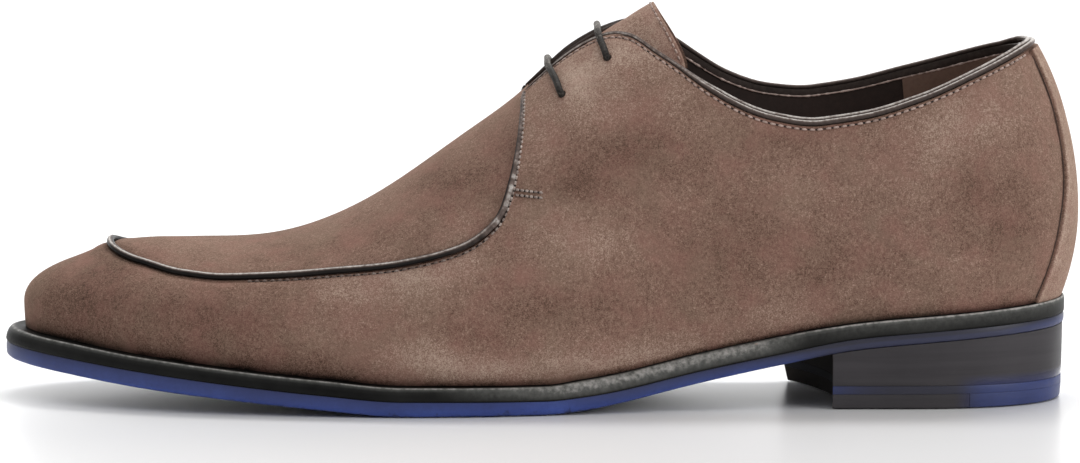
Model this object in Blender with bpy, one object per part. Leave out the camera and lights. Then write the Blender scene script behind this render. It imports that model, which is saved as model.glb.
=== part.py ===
"""Left apron derby dress shoe, standing empty on its sole.

X runs from the toe (-) to the heel (+), Y from the outer side (-) to the inner side (+), Z up from the
floor. All sizes are in millimetres and are turned into metres where a mesh is made. The last is one
function: each section is a plane from a point on the ridge (the spine) out to a point on the feather
edge, where the upper meets the sole, and the planes fan out around the toe and around the heel.
"""

import math

import bmesh
import bpy
import numpy as np
from mathutils import Vector

MM = 0.001

# Driving sizes of the last
LAST_LENGTH = 298.5
BALL_WIDTH = 88.5
INSTEP_HEIGHT = 120.5
OUTER, INNER = -1, 1

# Sections of the last from the heel's back to the toe's tip, drawn for these sizes
DRAWN = {"length": 298.5, "ball": 88.5, "instep": 120.5}
SECTION_COLUMNS = (
    "edge_x", "outer_y", "inner_y", "spine_x", "spine_y", "welt",
    "swell", "swell_up", "ridge", "outer_full", "inner_full", "hollow",
)
SECTIONS = (
    (149.5, 0.0, 0.0, 112.0, 0.0, 2.0, 4.7, 24.5, 121.0, 1.95, 1.95, 0.0),
    (145.6, -14.5, 14.5, 111.0, 0.0, 2.1, 4.5, 24.5, 121.0, 1.95, 1.95, 0.0),
    (133.5, -25.5, 25.5, 108.0, 0.0, 2.4, 4.0, 23.6, 121.5, 2.0, 2.0, 0.0),
    (113.5, -30.8, 30.5, 101.0, 0.0, 2.7, 3.6, 22.0, 122.5, 2.0, 2.0, 0.0),
    (90.0, -31.0, 29.5, 87.0, -0.3, 3.0, 3.4, 21.1, 123.5, 2.0, 2.0, 0.0),
    (64.0, -31.8, 26.5, 63.0, -2.0, 3.3, 3.6, 20.0, 123.5, 1.95, 1.95, 0.0),
    (36.0, -35.0, 25.5, 36.0, -3.2, 3.7, 3.8, 19.3, 118.2, 1.88, 1.9, 0.0),
    (10.0, -40.6, 30.0, 10.0, -3.5, 4.2, 3.8, 18.6, 103.8, 1.82, 1.88, 0.0),
    (-6.0, -43.8, 34.0, -6.0, -2.6, 4.5, 3.6, 17.9, 88.9, 1.82, 1.92, 0.0),
    (-22.0, -45.9, 38.4, -22.0, -1.4, 4.8, 3.4, 17.1, 76.9, 1.82, 1.95, 0.0),
    (-48.0, -45.8, 42.5, -48.0, 1.0, 5.2, 3.0, 15.1, 58.8, 1.92, 2.05, 0.0),
    (-76.0, -42.0, 42.0, -74.0, 2.4, 5.4, 2.6, 13.1, 47.9, 1.98, 2.05, 0.2),
    (-102.0, -35.8, 38.3, -92.0, 2.7, 5.6, 2.0, 11.7, 46.3, 1.98, 2.0, 0.6),
    (-126.0, -25.8, 29.8, -102.0, 2.6, 5.7, 1.2, 9.6, 46.3, 2.0, 2.0, 1.8),
    (-142.0, -14.0, 19.0, -104.5, 2.5, 5.7, 0.6, 7.9, 46.4, 2.1, 2.1, 2.8),
    (-149.0, 2.5, 2.5, -105.0, 2.5, 5.7, 0.4, 7.4, 46.4, 2.1, 2.1, 3.0),
)
SWELL_SHARE, HOLLOW_TOP = 0.2, 0.62

# Bottom of the sole and its two layers along the length; both flat spots touch the floor
SOLE_COLUMNS = ("x", "bottom", "outsole", "midsole")
SOLE = (
    (-160.0, 12.0, 4.2, 4.7),
    (-137.0, 9.4, 4.4, 4.7),
    (-114.0, 6.5, 4.5, 4.4),
    (-90.0, 4.1, 4.3, 4.4),
    (-62.0, 1.7, 4.1, 4.4),
    (-38.0, 0.0, 4.1, 4.2),
    (2.0, 0.0, 3.8, 4.3),
    (12.0, 0.8, 3.8, 4.8),
    (22.0, 2.5, 3.5, 4.9),
    (45.0, 7.7, 3.3, 5.05),
    (68.0, 12.5, 3.1, 5.1),
    (90.0, 16.7, 3.1, 4.6),
    (113.0, 18.9, 3.0, 4.6),
    (160.0, 22.2, 2.8, 5.2),
)

# The upper's wall: quarters outside, apron one step lower, one smooth inside
QUARTER_STEP = 1.0
WALL = 2.6
GAP = 0.3

# Middle of the footprint in the last's own frame; the part's origin lies there
MIDDLE = (0.35, -1.69)

# Edges of the quarters. The bead on the topline is given by height and on the throat by offset, and the
# quarter stops short of it. The apron seam is the quarter's own edge, given by height
TOPLINE_COLUMNS = ("x", "outer_z", "inner_z")
TOPLINE = (
    (124.5, 95.7, 98.0),
    (107.5, 88.5, 93.2),
    (93.0, 84.1, 89.4),
    (80.0, 82.1, 87.3),
    (66.0, 83.5, 88.0),
    (53.8, 88.1, 92.0),
    (44.3, 94.0, 97.8),
    (38.8, 98.1, 101.7),
    (32.4, 102.2, 105.6),
)
HEEL_TOP = 102.6
THROAT_COLUMNS = ("x", "outer_y", "inner_y")
THROAT = (
    (24.5, -17.0, 7.6),
    (19.0, -14.2, 6.2),
    (12.6, -12.2, 4.6),
    (6.6, -10.6, 3.2),
    (1.0, -9.3, 2.4),
)
THROAT_FOOT = (-4.2, -9.0, 2.2)
SEAM_COLUMNS = ("x", "outer_z", "inner_z")
SEAM = (
    (-4.6, 82.4, 82.4),
    (-5.2, 75.9, 75.9),
    (-6.2, 69.0, 69.0),
    (-7.7, 62.1, 62.1),
    (-10.0, 55.9, 55.9),
    (-16.2, 49.4, 49.4),
    (-22.4, 46.0, 46.0),
    (-33.6, 42.8, 42.8),
    (-56.4, 39.5, 39.5),
    (-79.2, 37.4, 37.4),
    (-90.6, 36.9, 36.9),
    (-102.4, 37.7, 37.7),
    (-114.8, 40.0, 40.0),
)
SEAM_FRONT = -125.0

# Trim
PIPING_RADIUS = 0.95
COLLAR_PIPING_RADIUS = 1.05
COLLAR_BEAD_REACH = COLLAR_PIPING_RADIUS + 2 * GAP
PIPING_SETBACK, COLLAR_SETBACK = 3.0, 2.5
BACKSTAY_HALF = {"foot": 22.2, "middle": 13.8, "top": 11.4}
BACKSTAY_INNER, BACKSTAY_OUTER = 0.3, 1.2
TONGUE_THICK = 1.8
TONGUE_GAP = 0.7
TONGUE_FOOT = {"ridge_x": -13.0, "edge_rise": 0.86}
TONGUE_TOP = {"ridge_x": 33.0, "edge_rise": 0.82}
TONGUE_LEAN = 0.55
INSOLE_THICK = 2.0
INSOLE_INSET = 3.2

# Laces: two bars across the throat, each through a punched hole in either quarter at that x and z, and over
# the beads of both facings at bead_x
LACE_RADIUS = 1.0
LACE_SUNK, LACE_PROUD = 1.4, 1.5
EYELET_RADIUS = 1.6
EYELET_COLUMNS = ("x", "z", "bead_x")
EYELETS = (
    (6.2, 88.8, 2.2),
    (19.1, 99.1, 16.5),
)

# Heel: a stack under the outsole, a lift, and a top piece in two parts
BREAST_OUTER_X, BREAST_INNER_X = 83.0, 70.5
BREAST_HOLLOW, BREAST_LEAN = 6.0, 2.8
LIFT_TOP, LIFT_BOTTOM = 6.4, 4.1
TOP_PIECE_TOP = 3.8
TOP_PIECE_SPLIT, SPLIT_SLIT = 0.47, 0.004
HEEL_INSET = {"top": 0.5, "lift": 0.8, "floor": 1.1}

# Faceting; the skew puts the quarter's rows closer together at its upper edge
FREE_COLUMNS, SEAM_STEPS = 34, 30
OUTSIDE_ROWS, INSIDE_ROWS = 8, 7
ROW_SKEW = 1.35
FOOT_WINDOW = 42.0
APRON_ROWS_OUT, APRON_ROWS_IN = 5, 5
SOLE_STATIONS = 46
PIPING_STEPS, COLLAR_STEPS = 34, 44
EYELET_SIDES = 8


def column(table, columns, name):
    """One named column of a table, as an array."""
    return np.array([row[columns.index(name)] for row in table], float)


def periodic_spline(knots, period, values):
    """A smooth closed curve through values at knots: a function of the place along it."""
    n = len(knots)
    gap = np.diff(np.append(knots, knots[0] + period))
    rise = (np.roll(values, -1) - values) / gap
    system = np.zeros((n, n))
    right = np.zeros(n)
    for i in range(n):
        before = gap[i - 1]
        system[i, i] = 2 * (before + gap[i])
        system[i, i - 1] += gap[i]
        system[i, (i + 1) % n] += before
        right[i] = 3 * (gap[i] * rise[i - 1] + before * rise[i])
    slope = np.linalg.solve(system, right)

    def curve(place):
        place = np.mod(np.asarray(place, float) - knots[0], period) + knots[0]
        i = np.clip(np.searchsorted(knots, place, side="right") - 1, 0, n - 1)
        j = (i + 1) % n
        s = (place - knots[i]) / gap[i]
        return (
            values[i] * (1 + 2 * s) * (1 - s) ** 2
            + slope[i] * gap[i] * s * (1 - s) ** 2
            + values[j] * s * s * (3 - 2 * s)
            + slope[j] * gap[i] * s * s * (s - 1)
        )

    return curve


def monotone_curve(knots, values, level_ends=False):
    """A curve through values at knots that never overshoots them."""
    knots, values = np.asarray(knots, float), np.asarray(values, float)
    gap, rise = np.diff(knots), np.diff(values) / np.diff(knots)
    slope = np.zeros(len(knots))
    if not level_ends:
        slope[0], slope[-1] = rise[0], rise[-1]
    for i in range(1, len(knots) - 1):
        if rise[i - 1] * rise[i] > 0:
            a, b = 2 * gap[i] + gap[i - 1], gap[i] + 2 * gap[i - 1]
            slope[i] = (a + b) / (a / rise[i - 1] + b / rise[i])

    def curve(place):
        place = np.clip(np.asarray(place, float), knots[0], knots[-1])
        i = np.clip(np.searchsorted(knots, place, side="right") - 1, 0, len(gap) - 1)
        s = (place - knots[i]) / gap[i]
        return (
            values[i] * (1 + 2 * s) * (1 - s) ** 2
            + slope[i] * gap[i] * s * (1 - s) ** 2
            + values[i + 1] * s * s * (3 - 2 * s)
            + slope[i + 1] * gap[i] * s * s * (s - 1)
        )

    return curve


def sole_curve(name):
    return monotone_curve(column(SOLE, SOLE_COLUMNS, "x"), column(SOLE, SOLE_COLUMNS, name))


sole_bottom = sole_curve("bottom")
outsole_thick = sole_curve("outsole")
midsole_thick = sole_curve("midsole")


def sole_top(x):
    """Height of the feather edge: the top of the midsole."""
    return sole_bottom(x) + outsole_thick(x) + midsole_thick(x)


class Last:
    """The outside of the quarters as a surface of (side, place, rise).

    place runs from 0 at the heel's back to self.toe at the toe's tip, in millimetres along the feather
    edge, and rise from 0 at the feather edge to 1 on the ridge.
    """

    def __init__(self):
        wide = BALL_WIDTH / DRAWN["ball"]
        scale = {c: LAST_LENGTH / DRAWN["length"] for c in ("edge_x", "spine_x")}
        scale |= {c: wide for c in ("outer_y", "inner_y", "spine_y")}
        scale["ridge"] = INSTEP_HEIGHT / DRAWN["instep"]
        rows = {c: column(SECTIONS, SECTION_COLUMNS, c) * scale.get(c, 1.0) for c in SECTION_COLUMNS}
        half_width = (rows["inner_y"] - rows["outer_y"]) / 2
        steps = np.hypot(np.diff(rows["edge_x"]), np.diff(half_width))
        half = np.concatenate([[0], np.cumsum(steps)])
        self.toe = half[-1]
        knots = np.concatenate([half, 2 * self.toe - half[-2:0:-1]])

        def closed(outer, inner):
            return periodic_spline(knots, 2 * self.toe, np.concatenate([outer, inner[-2:0:-1]]))

        self.edge_y = closed(rows["outer_y"], rows["inner_y"])
        self.full = closed(rows["outer_full"], rows["inner_full"])
        shared = ("edge_x", "spine_x", "spine_y", "welt", "swell", "swell_up", "ridge", "hollow")
        self.shared = {c: closed(rows[c], rows[c]) for c in shared}
        self.seeds = self._seeds()

    def around(self, side, place):
        """Place on the whole closed outline, outer side first."""
        place = np.asarray(place, float)
        return np.where(np.asarray(side) < 0, place, 2 * self.toe - place)

    def point(self, side, place, rise):
        place, rise = np.broadcast_arrays(np.asarray(place, float), np.asarray(rise, float))
        loop = self.around(side, place)
        row = {c: curve(loop) for c, curve in self.shared.items()}
        reach_x, reach_y = row["edge_x"] - row["spine_x"], self.edge_y(loop) - row["spine_y"]
        foot = np.hypot(reach_x, reach_y)
        wide = foot + row["swell"]
        foot_z = sole_top(row["edge_x"])
        wide_z = foot_z + row["swell_up"]
        low = np.clip(rise / SWELL_SHARE, 0, 1)
        turn = np.clip((rise - SWELL_SHARE) / (1 - SWELL_SHARE), 0, 1) * math.pi / 2
        full, high = self.full(loop), row["ridge"] - wide_z
        out, up = np.maximum(np.cos(turn), 0), np.maximum(np.sin(turn), 0)
        radius = ((out / wide) ** full + (up / high) ** full) ** (-1 / full)
        sunk = np.clip((rise - SWELL_SHARE) / (HOLLOW_TOP - SWELL_SHARE), 0, 1) * math.pi
        radius = radius - row["hollow"] * np.sin(sunk) ** 2
        upper = rise > SWELL_SHARE
        away = np.where(upper, radius * out, foot + row["swell"] * (1 - (1 - low) ** 2))
        z = np.where(upper, wide_z + radius * up, foot_z + row["swell_up"] * low)
        x = row["spine_x"] + reach_x / foot * away
        y = row["spine_y"] + reach_y / foot * away
        return np.stack([x, y, z], -1)

    def side_normal(self, side, place, rise):
        """Outward direction of one side's surface."""
        along = self.point(side, place + 0.2, rise) - self.point(side, place - 0.2, rise)
        upward = self.point(side, place, rise + 0.003) - self.point(side, place, rise - 0.003)
        across = np.cross(along, upward) * np.where(np.asarray(side) < 0, -1.0, 1.0)[..., None]
        return across / np.linalg.norm(across, axis=-1, keepdims=True)

    def normal(self, side, place, rise):
        """Outward direction, shared by both sides where they meet on the ridge."""
        place, rise = np.broadcast_arrays(np.asarray(place, float), np.asarray(rise, float))
        below = np.clip(rise, 0.004, 0.97)
        mine = self.side_normal(side, place, below)
        other = self.side_normal(-np.asarray(side), place, below)
        shared = np.clip((rise - 0.9) / 0.1, 0, 1)[..., None] / 2
        both = mine * (1 - shared) + other * shared
        return both / np.linalg.norm(both, axis=-1, keepdims=True)

    def skin(self, side, place, rise, level):
        """The surface moved out by level."""
        return self.point(side, place, rise) + self.normal(side, place, rise) * np.asarray(level)[..., None]

    def _seeds(self):
        place, rise = np.meshgrid(np.linspace(0, self.toe, 121), np.linspace(0.15, 0.99, 57), indexing="ij")
        return place, rise, {s: self.point(s, place, rise) for s in (OUTER, INNER)}

    def locate(self, side, x, axis, value):
        """(places, rises) of the surface points with those x and those y (axis 1) or z (axis 2)."""
        x, value = np.broadcast_arrays(np.asarray(x, float), np.asarray(value, float))
        places, rises, points = self.seeds
        seed_x, seed_value = points[side][..., 0].ravel(), points[side][..., axis].ravel()
        best = np.hypot(seed_x - x[..., None], seed_value - value[..., None]).argmin(-1)
        place, rise = places.ravel()[best], rises.ravel()[best]
        for _ in range(12):
            at = self.point(side, place, rise)
            by_place = (self.point(side, place + 0.05, rise) - at) / 0.05
            by_rise = (self.point(side, place, rise + 0.0005) - at) / 0.0005
            miss_x, miss = x - at[..., 0], value - at[..., axis]
            size = by_place[..., 0] * by_rise[..., axis] - by_place[..., axis] * by_rise[..., 0]
            place = place + (miss_x * by_rise[..., axis] - miss * by_rise[..., 0]) / size
            rise = rise + (by_place[..., 0] * miss - by_place[..., axis] * miss_x) / size
            place, rise = np.clip(place, 0, self.toe), np.clip(rise, 0.02, 0.999)
        return place, rise

    def outline(self, side, place, out):
        """The feather edge in plan, moved out by that much, as x and y."""
        loop = self.around(side, place)
        ahead = [self.shared["edge_x"](loop + 0.2) - self.shared["edge_x"](loop - 0.2),
                 self.edge_y(loop + 0.2) - self.edge_y(loop - 0.2)]
        size = np.hypot(*ahead)
        x, y = self.shared["edge_x"](loop), self.edge_y(loop)
        return x - ahead[1] / size * out, y + ahead[0] / size * out

    def place_at(self, x):
        """Place on the feather edge at that x."""
        places = np.linspace(0, self.toe, 601)
        return np.interp(-np.asarray(x, float), -self.shared["edge_x"](places), places)


last = Last()


class QuarterEdge:
    """Upper edge of one quarter: topline, facing and apron seam, from the heel's back to the toe."""

    def __init__(self, side):
        self.side = side
        name = "outer" if side == OUTER else "inner"
        back = [[0.0, self._rise_on(0.0, 2, HEEL_TOP)]]
        topline = self._nodes(TOPLINE, 2, TOPLINE_COLUMNS.index(name + "_z"))
        throat = self._nodes((*THROAT, THROAT_FOOT), 1, THROAT_COLUMNS.index(name + "_y"))
        seam = self._nodes(SEAM, 2, SEAM_COLUMNS.index(name + "_z"))
        front = [[last.toe, self._rise_on(last.toe, 0, SEAM_FRONT)]]
        free = np.concatenate([back, topline, throat])
        free[:, 1] -= COLLAR_BEAD_REACH / self._girth_speed(*free.T)
        nodes = np.concatenate([free, seam, front])
        points = last.point(side, *nodes.T)
        run = np.concatenate([[0], np.cumsum(np.linalg.norm(np.diff(points, axis=0), axis=1))])
        self.length, self.throat_foot = run[-1], run[len(free) - 1]
        self._place, self._rise = monotone_curve(run, nodes[:, 0]), monotone_curve(run, nodes[:, 1], True)

    def _nodes(self, table, axis, index):
        """(place, rise) rows of a table that holds x and one other coordinate."""
        x, value = np.array([(row[0], row[index]) for row in table]).T
        return np.stack(last.locate(self.side, x, axis, value), -1)

    def _girth_speed(self, place, rise):
        """Millimetres up the section for a rise of 1."""
        ahead = last.point(self.side, place, rise + 0.002) - last.point(self.side, place, rise - 0.002)
        return np.linalg.norm(ahead, axis=-1) / 0.004

    def _rise_on(self, place, axis, value):
        rises = np.linspace(0.1, 1, 900)
        along = last.point(self.side, place, rises)[:, axis]
        order = np.argsort(along)
        return float(np.interp(value, along[order], rises[order]))

    def at(self, run):
        return self._place(run), self._rise(run)

    def foot(self, run):
        """Place on the feather edge under that point of the edge, evened out along the length."""
        along = run + np.linspace(-FOOT_WINDOW, FOOT_WINDOW, 43)[:, None]
        inside = np.clip(along, 0, self.length)
        evened = (self._place(inside) + along - inside).mean(0)
        share = run / self.length
        return evened - evened[0] * (1 - share) - (evened[-1] - last.toe) * share

    def beside(self, run, level, aside):
        """Points along the edge, moved out by level and sideways off the quarter by aside."""
        place, rise = self.at(run)
        here = last.skin(self.side, place, rise, np.full(len(run), level))
        ahead = last.point(self.side, *self.at(run + 0.3)) - last.point(self.side, *self.at(run - 0.3))
        ahead = ahead / np.linalg.norm(ahead, axis=1, keepdims=True)
        off = np.cross(last.normal(self.side, place, rise), ahead) * self.side
        return here + off * aside


edges = {side: QuarterEdge(side) for side in (OUTER, INNER)}


def material(name, colour, roughness):
    """A plain finish for one piece."""
    made = bpy.data.materials.new(name)
    made.use_nodes = True
    shader = made.node_tree.nodes["Principled BSDF"]
    shader.inputs["Base Color"].default_value = (*colour, 1.0)
    shader.inputs["Roughness"].default_value = roughness
    shader.inputs["Metallic"].default_value = 0.0
    return made


def add_grid(mesh, points):
    """Quads over a grid of points in millimetres."""
    rows = [[mesh.verts.new(p * MM) for p in row] for row in points]
    for low, high in zip(rows, rows[1:]):
        for i in range(len(low) - 1):
            mesh.faces.new((low[i], low[i + 1], high[i + 1], high[i]))


def finish(name, mesh, finish_material):
    """Welds the grids of a piece into one closed body and makes its object."""
    bmesh.ops.remove_doubles(mesh, verts=mesh.verts, dist=0.002 * MM)
    bmesh.ops.recalc_face_normals(mesh, faces=mesh.faces)
    data = bpy.data.meshes.new(name)
    mesh.to_mesh(data)
    mesh.free()
    data.shade_smooth()
    data.set_sharp_from_angle(angle=math.radians(40))
    data.materials.append(finish_material)
    piece = bpy.data.objects.new(name, data)
    bpy.context.scene.collection.objects.link(piece)
    return piece


def quarter_grid(side, rows, level):
    """Points of one quarter from the feather edge (row 0) to its upper edge."""
    edge = edges[side]
    run = np.concatenate([
        np.linspace(0, edge.throat_foot, FREE_COLUMNS + 1),
        np.linspace(edge.throat_foot, edge.length, SEAM_STEPS + 1)[1:],
    ])
    place, rise = edge.at(run)
    foot = edge.foot(run)
    share = 1 - (1 - np.linspace(0, 1, rows + 1)[:, None]) ** ROW_SKEW
    levels = np.full((rows + 1, len(run)), level)
    return last.skin(side, foot + (place - foot) * share, rise * share, levels)


def seam_places(side):
    """(place, rise) along the apron seam, from the throat to the toe."""
    edge = edges[side]
    return edge.at(np.linspace(edge.throat_foot, edge.length, SEAM_STEPS + 1))


def apron_grid(side, rows, level):
    """Points of half the apron from the seam (row 0) to the ridge, where both halves share their places."""
    place, rise = seam_places(side)
    ridge = (place + seam_places(-side)[0]) / 2
    share = np.linspace(0, 1, rows + 1)[:, None]
    return last.skin(side, place + (ridge - place) * share, rise + (1 - rise) * share,
                     np.full((rows + 1, len(place)), level))


def build_upper(leather):
    """Quarters, apron and inside as one hollow wall, open at the collar, the throat and underneath."""
    mesh = bmesh.new()
    for side in (OUTER, INNER):
        outside, inside = quarter_grid(side, OUTSIDE_ROWS, 0.0), quarter_grid(side, INSIDE_ROWS, -WALL)
        apron_out = apron_grid(side, APRON_ROWS_OUT, -QUARTER_STEP)
        apron_in = apron_grid(side, APRON_ROWS_IN, -WALL)
        for part in (outside, inside, apron_out, apron_in):
            add_grid(mesh, part)
        add_grid(mesh, [outside[0], inside[0]])
        add_grid(mesh, [outside[-1][: FREE_COLUMNS + 1], inside[-1][: FREE_COLUMNS + 1]])
        add_grid(mesh, [outside[-1][FREE_COLUMNS:], apron_out[0]])
        ridge_out, ridge_in = apron_out[:, 0], apron_in[:, 0]
        rear = np.concatenate([ridge_out, ridge_in[::-1]])
        mesh.faces.new([mesh.verts.new(p * MM) for p in rear])
        corner = [outside[-1][FREE_COLUMNS], apron_out[0][0], inside[-1][FREE_COLUMNS]]
        mesh.faces.new([mesh.verts.new(p * MM) for p in corner])
    return finish("upper", mesh, leather)


def plan_grid(out, from_place, to_place, stations, across, hollow=0.0):
    """Plan points between the outlines: stations from first to last place, across from outer to inner."""
    share = (1 - np.cos(np.linspace(0, math.pi, stations + 1))) / 2
    outer_place = from_place[0] + (to_place[0] - from_place[0]) * share
    inner_place = from_place[1] + (to_place[1] - from_place[1]) * share
    outer_out = out(outer_place) if callable(out) else out
    inner_out = out(inner_place) if callable(out) else out
    outer = np.stack(last.outline(OUTER, outer_place, outer_out), -1)[:, None]
    inner = np.stack(last.outline(INNER, inner_place, inner_out), -1)[:, None]
    split = np.linspace(0, 1, across + 1)[None, :, None]
    points = outer + (inner - outer) * split
    points[..., 0] += hollow * (4 * split * (1 - split))[..., 0] * ((1 - share) ** 2)[:, None]
    return points


def build_block(name, levels, finish_material):
    """A closed body from grids of points, one for each level, from the bottom up."""
    mesh = bmesh.new()
    levels = np.array(levels)
    add_grid(mesh, levels[0])
    add_grid(mesh, levels[-1])
    for rim in (levels[:, :, 0], levels[:, :, -1], levels[:, 0, :], levels[:, -1, :]):
        add_grid(mesh, rim)
    return finish(name, mesh, finish_material)


def with_height(plan, height):
    return np.concatenate([plan, np.broadcast_to(height, plan.shape[:2])[..., None]], -1)


def welt_out(inset):
    """Overhang of the sole past the feather edge, less an inset."""
    return lambda place: last.shared["welt"](place) - inset


def build_sole_layer(name, low, thick, profile, finish_material):
    """One full-length layer; profile holds (share of thickness, inset of the edge) from the bottom up."""
    levels = []
    for share, inset in profile:
        plan = plan_grid(welt_out(inset), (0, 0), (last.toe, last.toe), SOLE_STATIONS, 1)
        levels.append(with_height(plan, low(plan[..., 0]) + thick(plan[..., 0]) * share))
    return build_block(name, levels, finish_material)


def build_insole(leather):
    plan = plan_grid(-INSOLE_INSET, (0, 0), (last.toe, last.toe), SOLE_STATIONS, 1)
    bottom = sole_top(plan[..., 0])
    return build_block("insole", [with_height(plan, bottom + t) for t in (0.0, INSOLE_THICK)], leather)


def heel_plan(inset, first, final, z):
    """Plan of the heel at a height, between two shares of the way from its breast to its back."""
    inner_x = BREAST_INNER_X + BREAST_LEAN * (1 - z / sole_bottom(BREAST_INNER_X))
    breast = (float(last.place_at(BREAST_OUTER_X)), float(last.place_at(inner_x)))
    start, stop = ([b * (1 - share) for b in breast] for share in (first, final))
    return plan_grid(welt_out(inset), start, stop, 12, 4, BREAST_HOLLOW if first == 0 else 0.0)


def build_heel(stack, rubber):
    """Stack, lift, and the two parts of the top piece."""
    top = heel_plan(HEEL_INSET["top"], 0, 1, sole_bottom(BREAST_INNER_X))
    build_block("heel_stack", [
        with_height(heel_plan(HEEL_INSET["lift"], 0, 1, LIFT_TOP), LIFT_TOP + GAP),
        with_height(top, sole_bottom(top[..., 0]) - GAP),
    ], stack)
    levels = [with_height(heel_plan(HEEL_INSET["lift"], 0, 1, z), z) for z in (LIFT_BOTTOM, LIFT_TOP)]
    build_block("heel_lift", levels, rubber)
    for name, first, final, made_of in (
        ("top_piece_front", 0, TOP_PIECE_SPLIT - SPLIT_SLIT, stack),
        ("top_piece_rear", TOP_PIECE_SPLIT + SPLIT_SLIT, 1, rubber),
    ):
        build_block(name, [
            with_height(heel_plan(HEEL_INSET["floor"], first, final, 0.0), 0.0),
            with_height(heel_plan(HEEL_INSET["lift"], first, final, TOP_PIECE_TOP), TOP_PIECE_TOP),
        ], made_of)


def build_tube(name, path, radius, finish_material):
    """A round cord along points in millimetres."""
    curve = bpy.data.curves.new(name, "CURVE")
    curve.dimensions = "3D"
    curve.bevel_depth = radius * MM
    curve.bevel_resolution = 1
    curve.use_fill_caps = True
    spline = curve.splines.new("POLY")
    spline.points.add(len(path) - 1)
    for point, place in zip(spline.points, path):
        point.co = (*(place * MM), 1.0)
    curve.materials.append(finish_material)
    piece = bpy.data.objects.new(name, curve)
    bpy.context.scene.collection.objects.link(piece)
    return piece


def build_apron_piping(leather):
    """Bead in the step of the apron seam, from one side of the throat round the toe to the other."""
    level, aside = -QUARTER_STEP + GAP + PIPING_RADIUS, PIPING_RADIUS + GAP
    halves = []
    for side in (OUTER, INNER):
        edge = edges[side]
        run = np.linspace(edge.throat_foot + PIPING_SETBACK, edge.length, PIPING_STEPS)
        halves.append(edge.beside(run, level, aside))
    path = np.concatenate([halves[0][:-1], halves[1][::-1]])
    return build_tube("apron_piping", path, PIPING_RADIUS, leather)


def build_collar_piping(leather):
    """Bead on the free edge, up one facing, round the collar and down the other facing."""
    halves = []
    for side in (OUTER, INNER):
        edge = edges[side]
        run = np.linspace(0, edge.throat_foot - COLLAR_SETBACK, COLLAR_STEPS)
        halves.append(edge.beside(run, -WALL / 2, COLLAR_BEAD_REACH))
    path = np.concatenate([halves[0][::-1], halves[1][1:]])
    return build_tube("collar_piping", path, COLLAR_PIPING_RADIUS, leather)


def build_backstay(leather):
    """Strip over the heel's back seam, from the feather edge to the topline."""
    half = monotone_curve([0, 0.5, 1], [BACKSTAY_HALF[k] for k in ("foot", "middle", "top")])
    share = np.linspace(0.01, 0.985, 12)[:, None]
    split = np.linspace(-1, 1, 13)[None, :]
    place = np.abs(split) * half(share)
    top = np.empty_like(place)
    runs = np.linspace(0, 40, 81)
    for side in (OUTER, INNER):
        edge_place, edge_rise = edges[side].at(runs)
        mine = np.broadcast_to(split * side >= 0, place.shape)
        top[mine] = np.interp(place, edge_place, edge_rise)[mine]
    side = np.broadcast_to(np.where(split < 0, OUTER, INNER), place.shape)
    levels = [last.skin(side, place, top * share, np.full(place.shape, level))
              for level in (BACKSTAY_INNER, BACKSTAY_OUTER)]
    return build_block("backstay", levels, leather)


def tongue_level(level, rows=12, steps=6):
    """Points of the tongue from its foot to its top, each row in a plane square to the tongue's length."""
    share = np.linspace(0, 1, rows + 1)[:, None]
    ridge_x = TONGUE_FOOT["ridge_x"] + (TONGUE_TOP["ridge_x"] - TONGUE_FOOT["ridge_x"]) * share
    edge_rise = TONGUE_FOOT["edge_rise"] + (TONGUE_TOP["edge_rise"] - TONGUE_FOOT["edge_rise"]) * share
    ridge_z = last.shared["ridge"](last.place_at(ridge_x))
    rise = edge_rise + (1 - edge_rise) * np.linspace(0, 1, steps + 1)[None]
    halves = []
    for side in (OUTER, INNER):
        place = last.place_at(ridge_x + 0 * rise)
        for _ in range(8):
            place = last.place_at(ridge_x + TONGUE_LEAN * (ridge_z - last.point(side, place, rise)[..., 2]))
        halves.append(last.skin(side, place, rise, np.full(place.shape, level)))
    return np.concatenate([halves[0], halves[1][:, -2::-1]], axis=1)


def build_tongue(leather):
    outside = -(WALL + TONGUE_GAP)
    return build_block("tongue", [tongue_level(outside - TONGUE_THICK), tongue_level(outside)], leather)


def eyelet(side, row):
    """(point on the quarter's outside, outward direction) of one punched hole."""
    x, z = (row[EYELET_COLUMNS.index(c)] for c in ("x", "z"))
    place, rise = last.locate(side, x, 2, z)
    return last.point(side, place, rise), last.normal(side, place, rise)


def punch_eyelets(upper):
    """Round holes through the quarters for the laces."""
    for number, row in enumerate(EYELETS, 1):
        for side, name in ((OUTER, "outer"), (INNER, "inner")):
            point, outward = eyelet(side, row)
            mesh = bmesh.new()
            bmesh.ops.create_cone(mesh, cap_ends=True, segments=EYELET_SIDES, radius1=EYELET_RADIUS * MM,
                                  radius2=EYELET_RADIUS * MM, depth=4 * WALL * MM)
            data = bpy.data.meshes.new(f"punch_{name}_{number}")
            mesh.to_mesh(data)
            mesh.free()
            punch = bpy.data.objects.new(data.name, data)
            bpy.context.scene.collection.objects.link(punch)
            punch.location = (point - outward * WALL / 2) * MM
            punch.rotation_mode = "QUATERNION"
            punch.rotation_quaternion = Vector(outward).to_track_quat("Z", "Y")
            punch.hide_render = True
            punch.display_type = "WIRE"
            cut = upper.modifiers.new(punch.name, "BOOLEAN")
            cut.operation = "DIFFERENCE"
            cut.solver = "EXACT"
            cut.object = punch


def over_bead(side, x, level):
    """Point over the bead of one facing at that x, out from the middle of the wall by level."""
    edge = edges[side]
    run = np.linspace(edge.throat_foot - 45, edge.throat_foot, 91)
    path = edge.beside(run, level - WALL / 2, COLLAR_BEAD_REACH)
    return np.array([np.interp(-x, -path[:, 0], path[:, axis]) for axis in range(3)])


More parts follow.
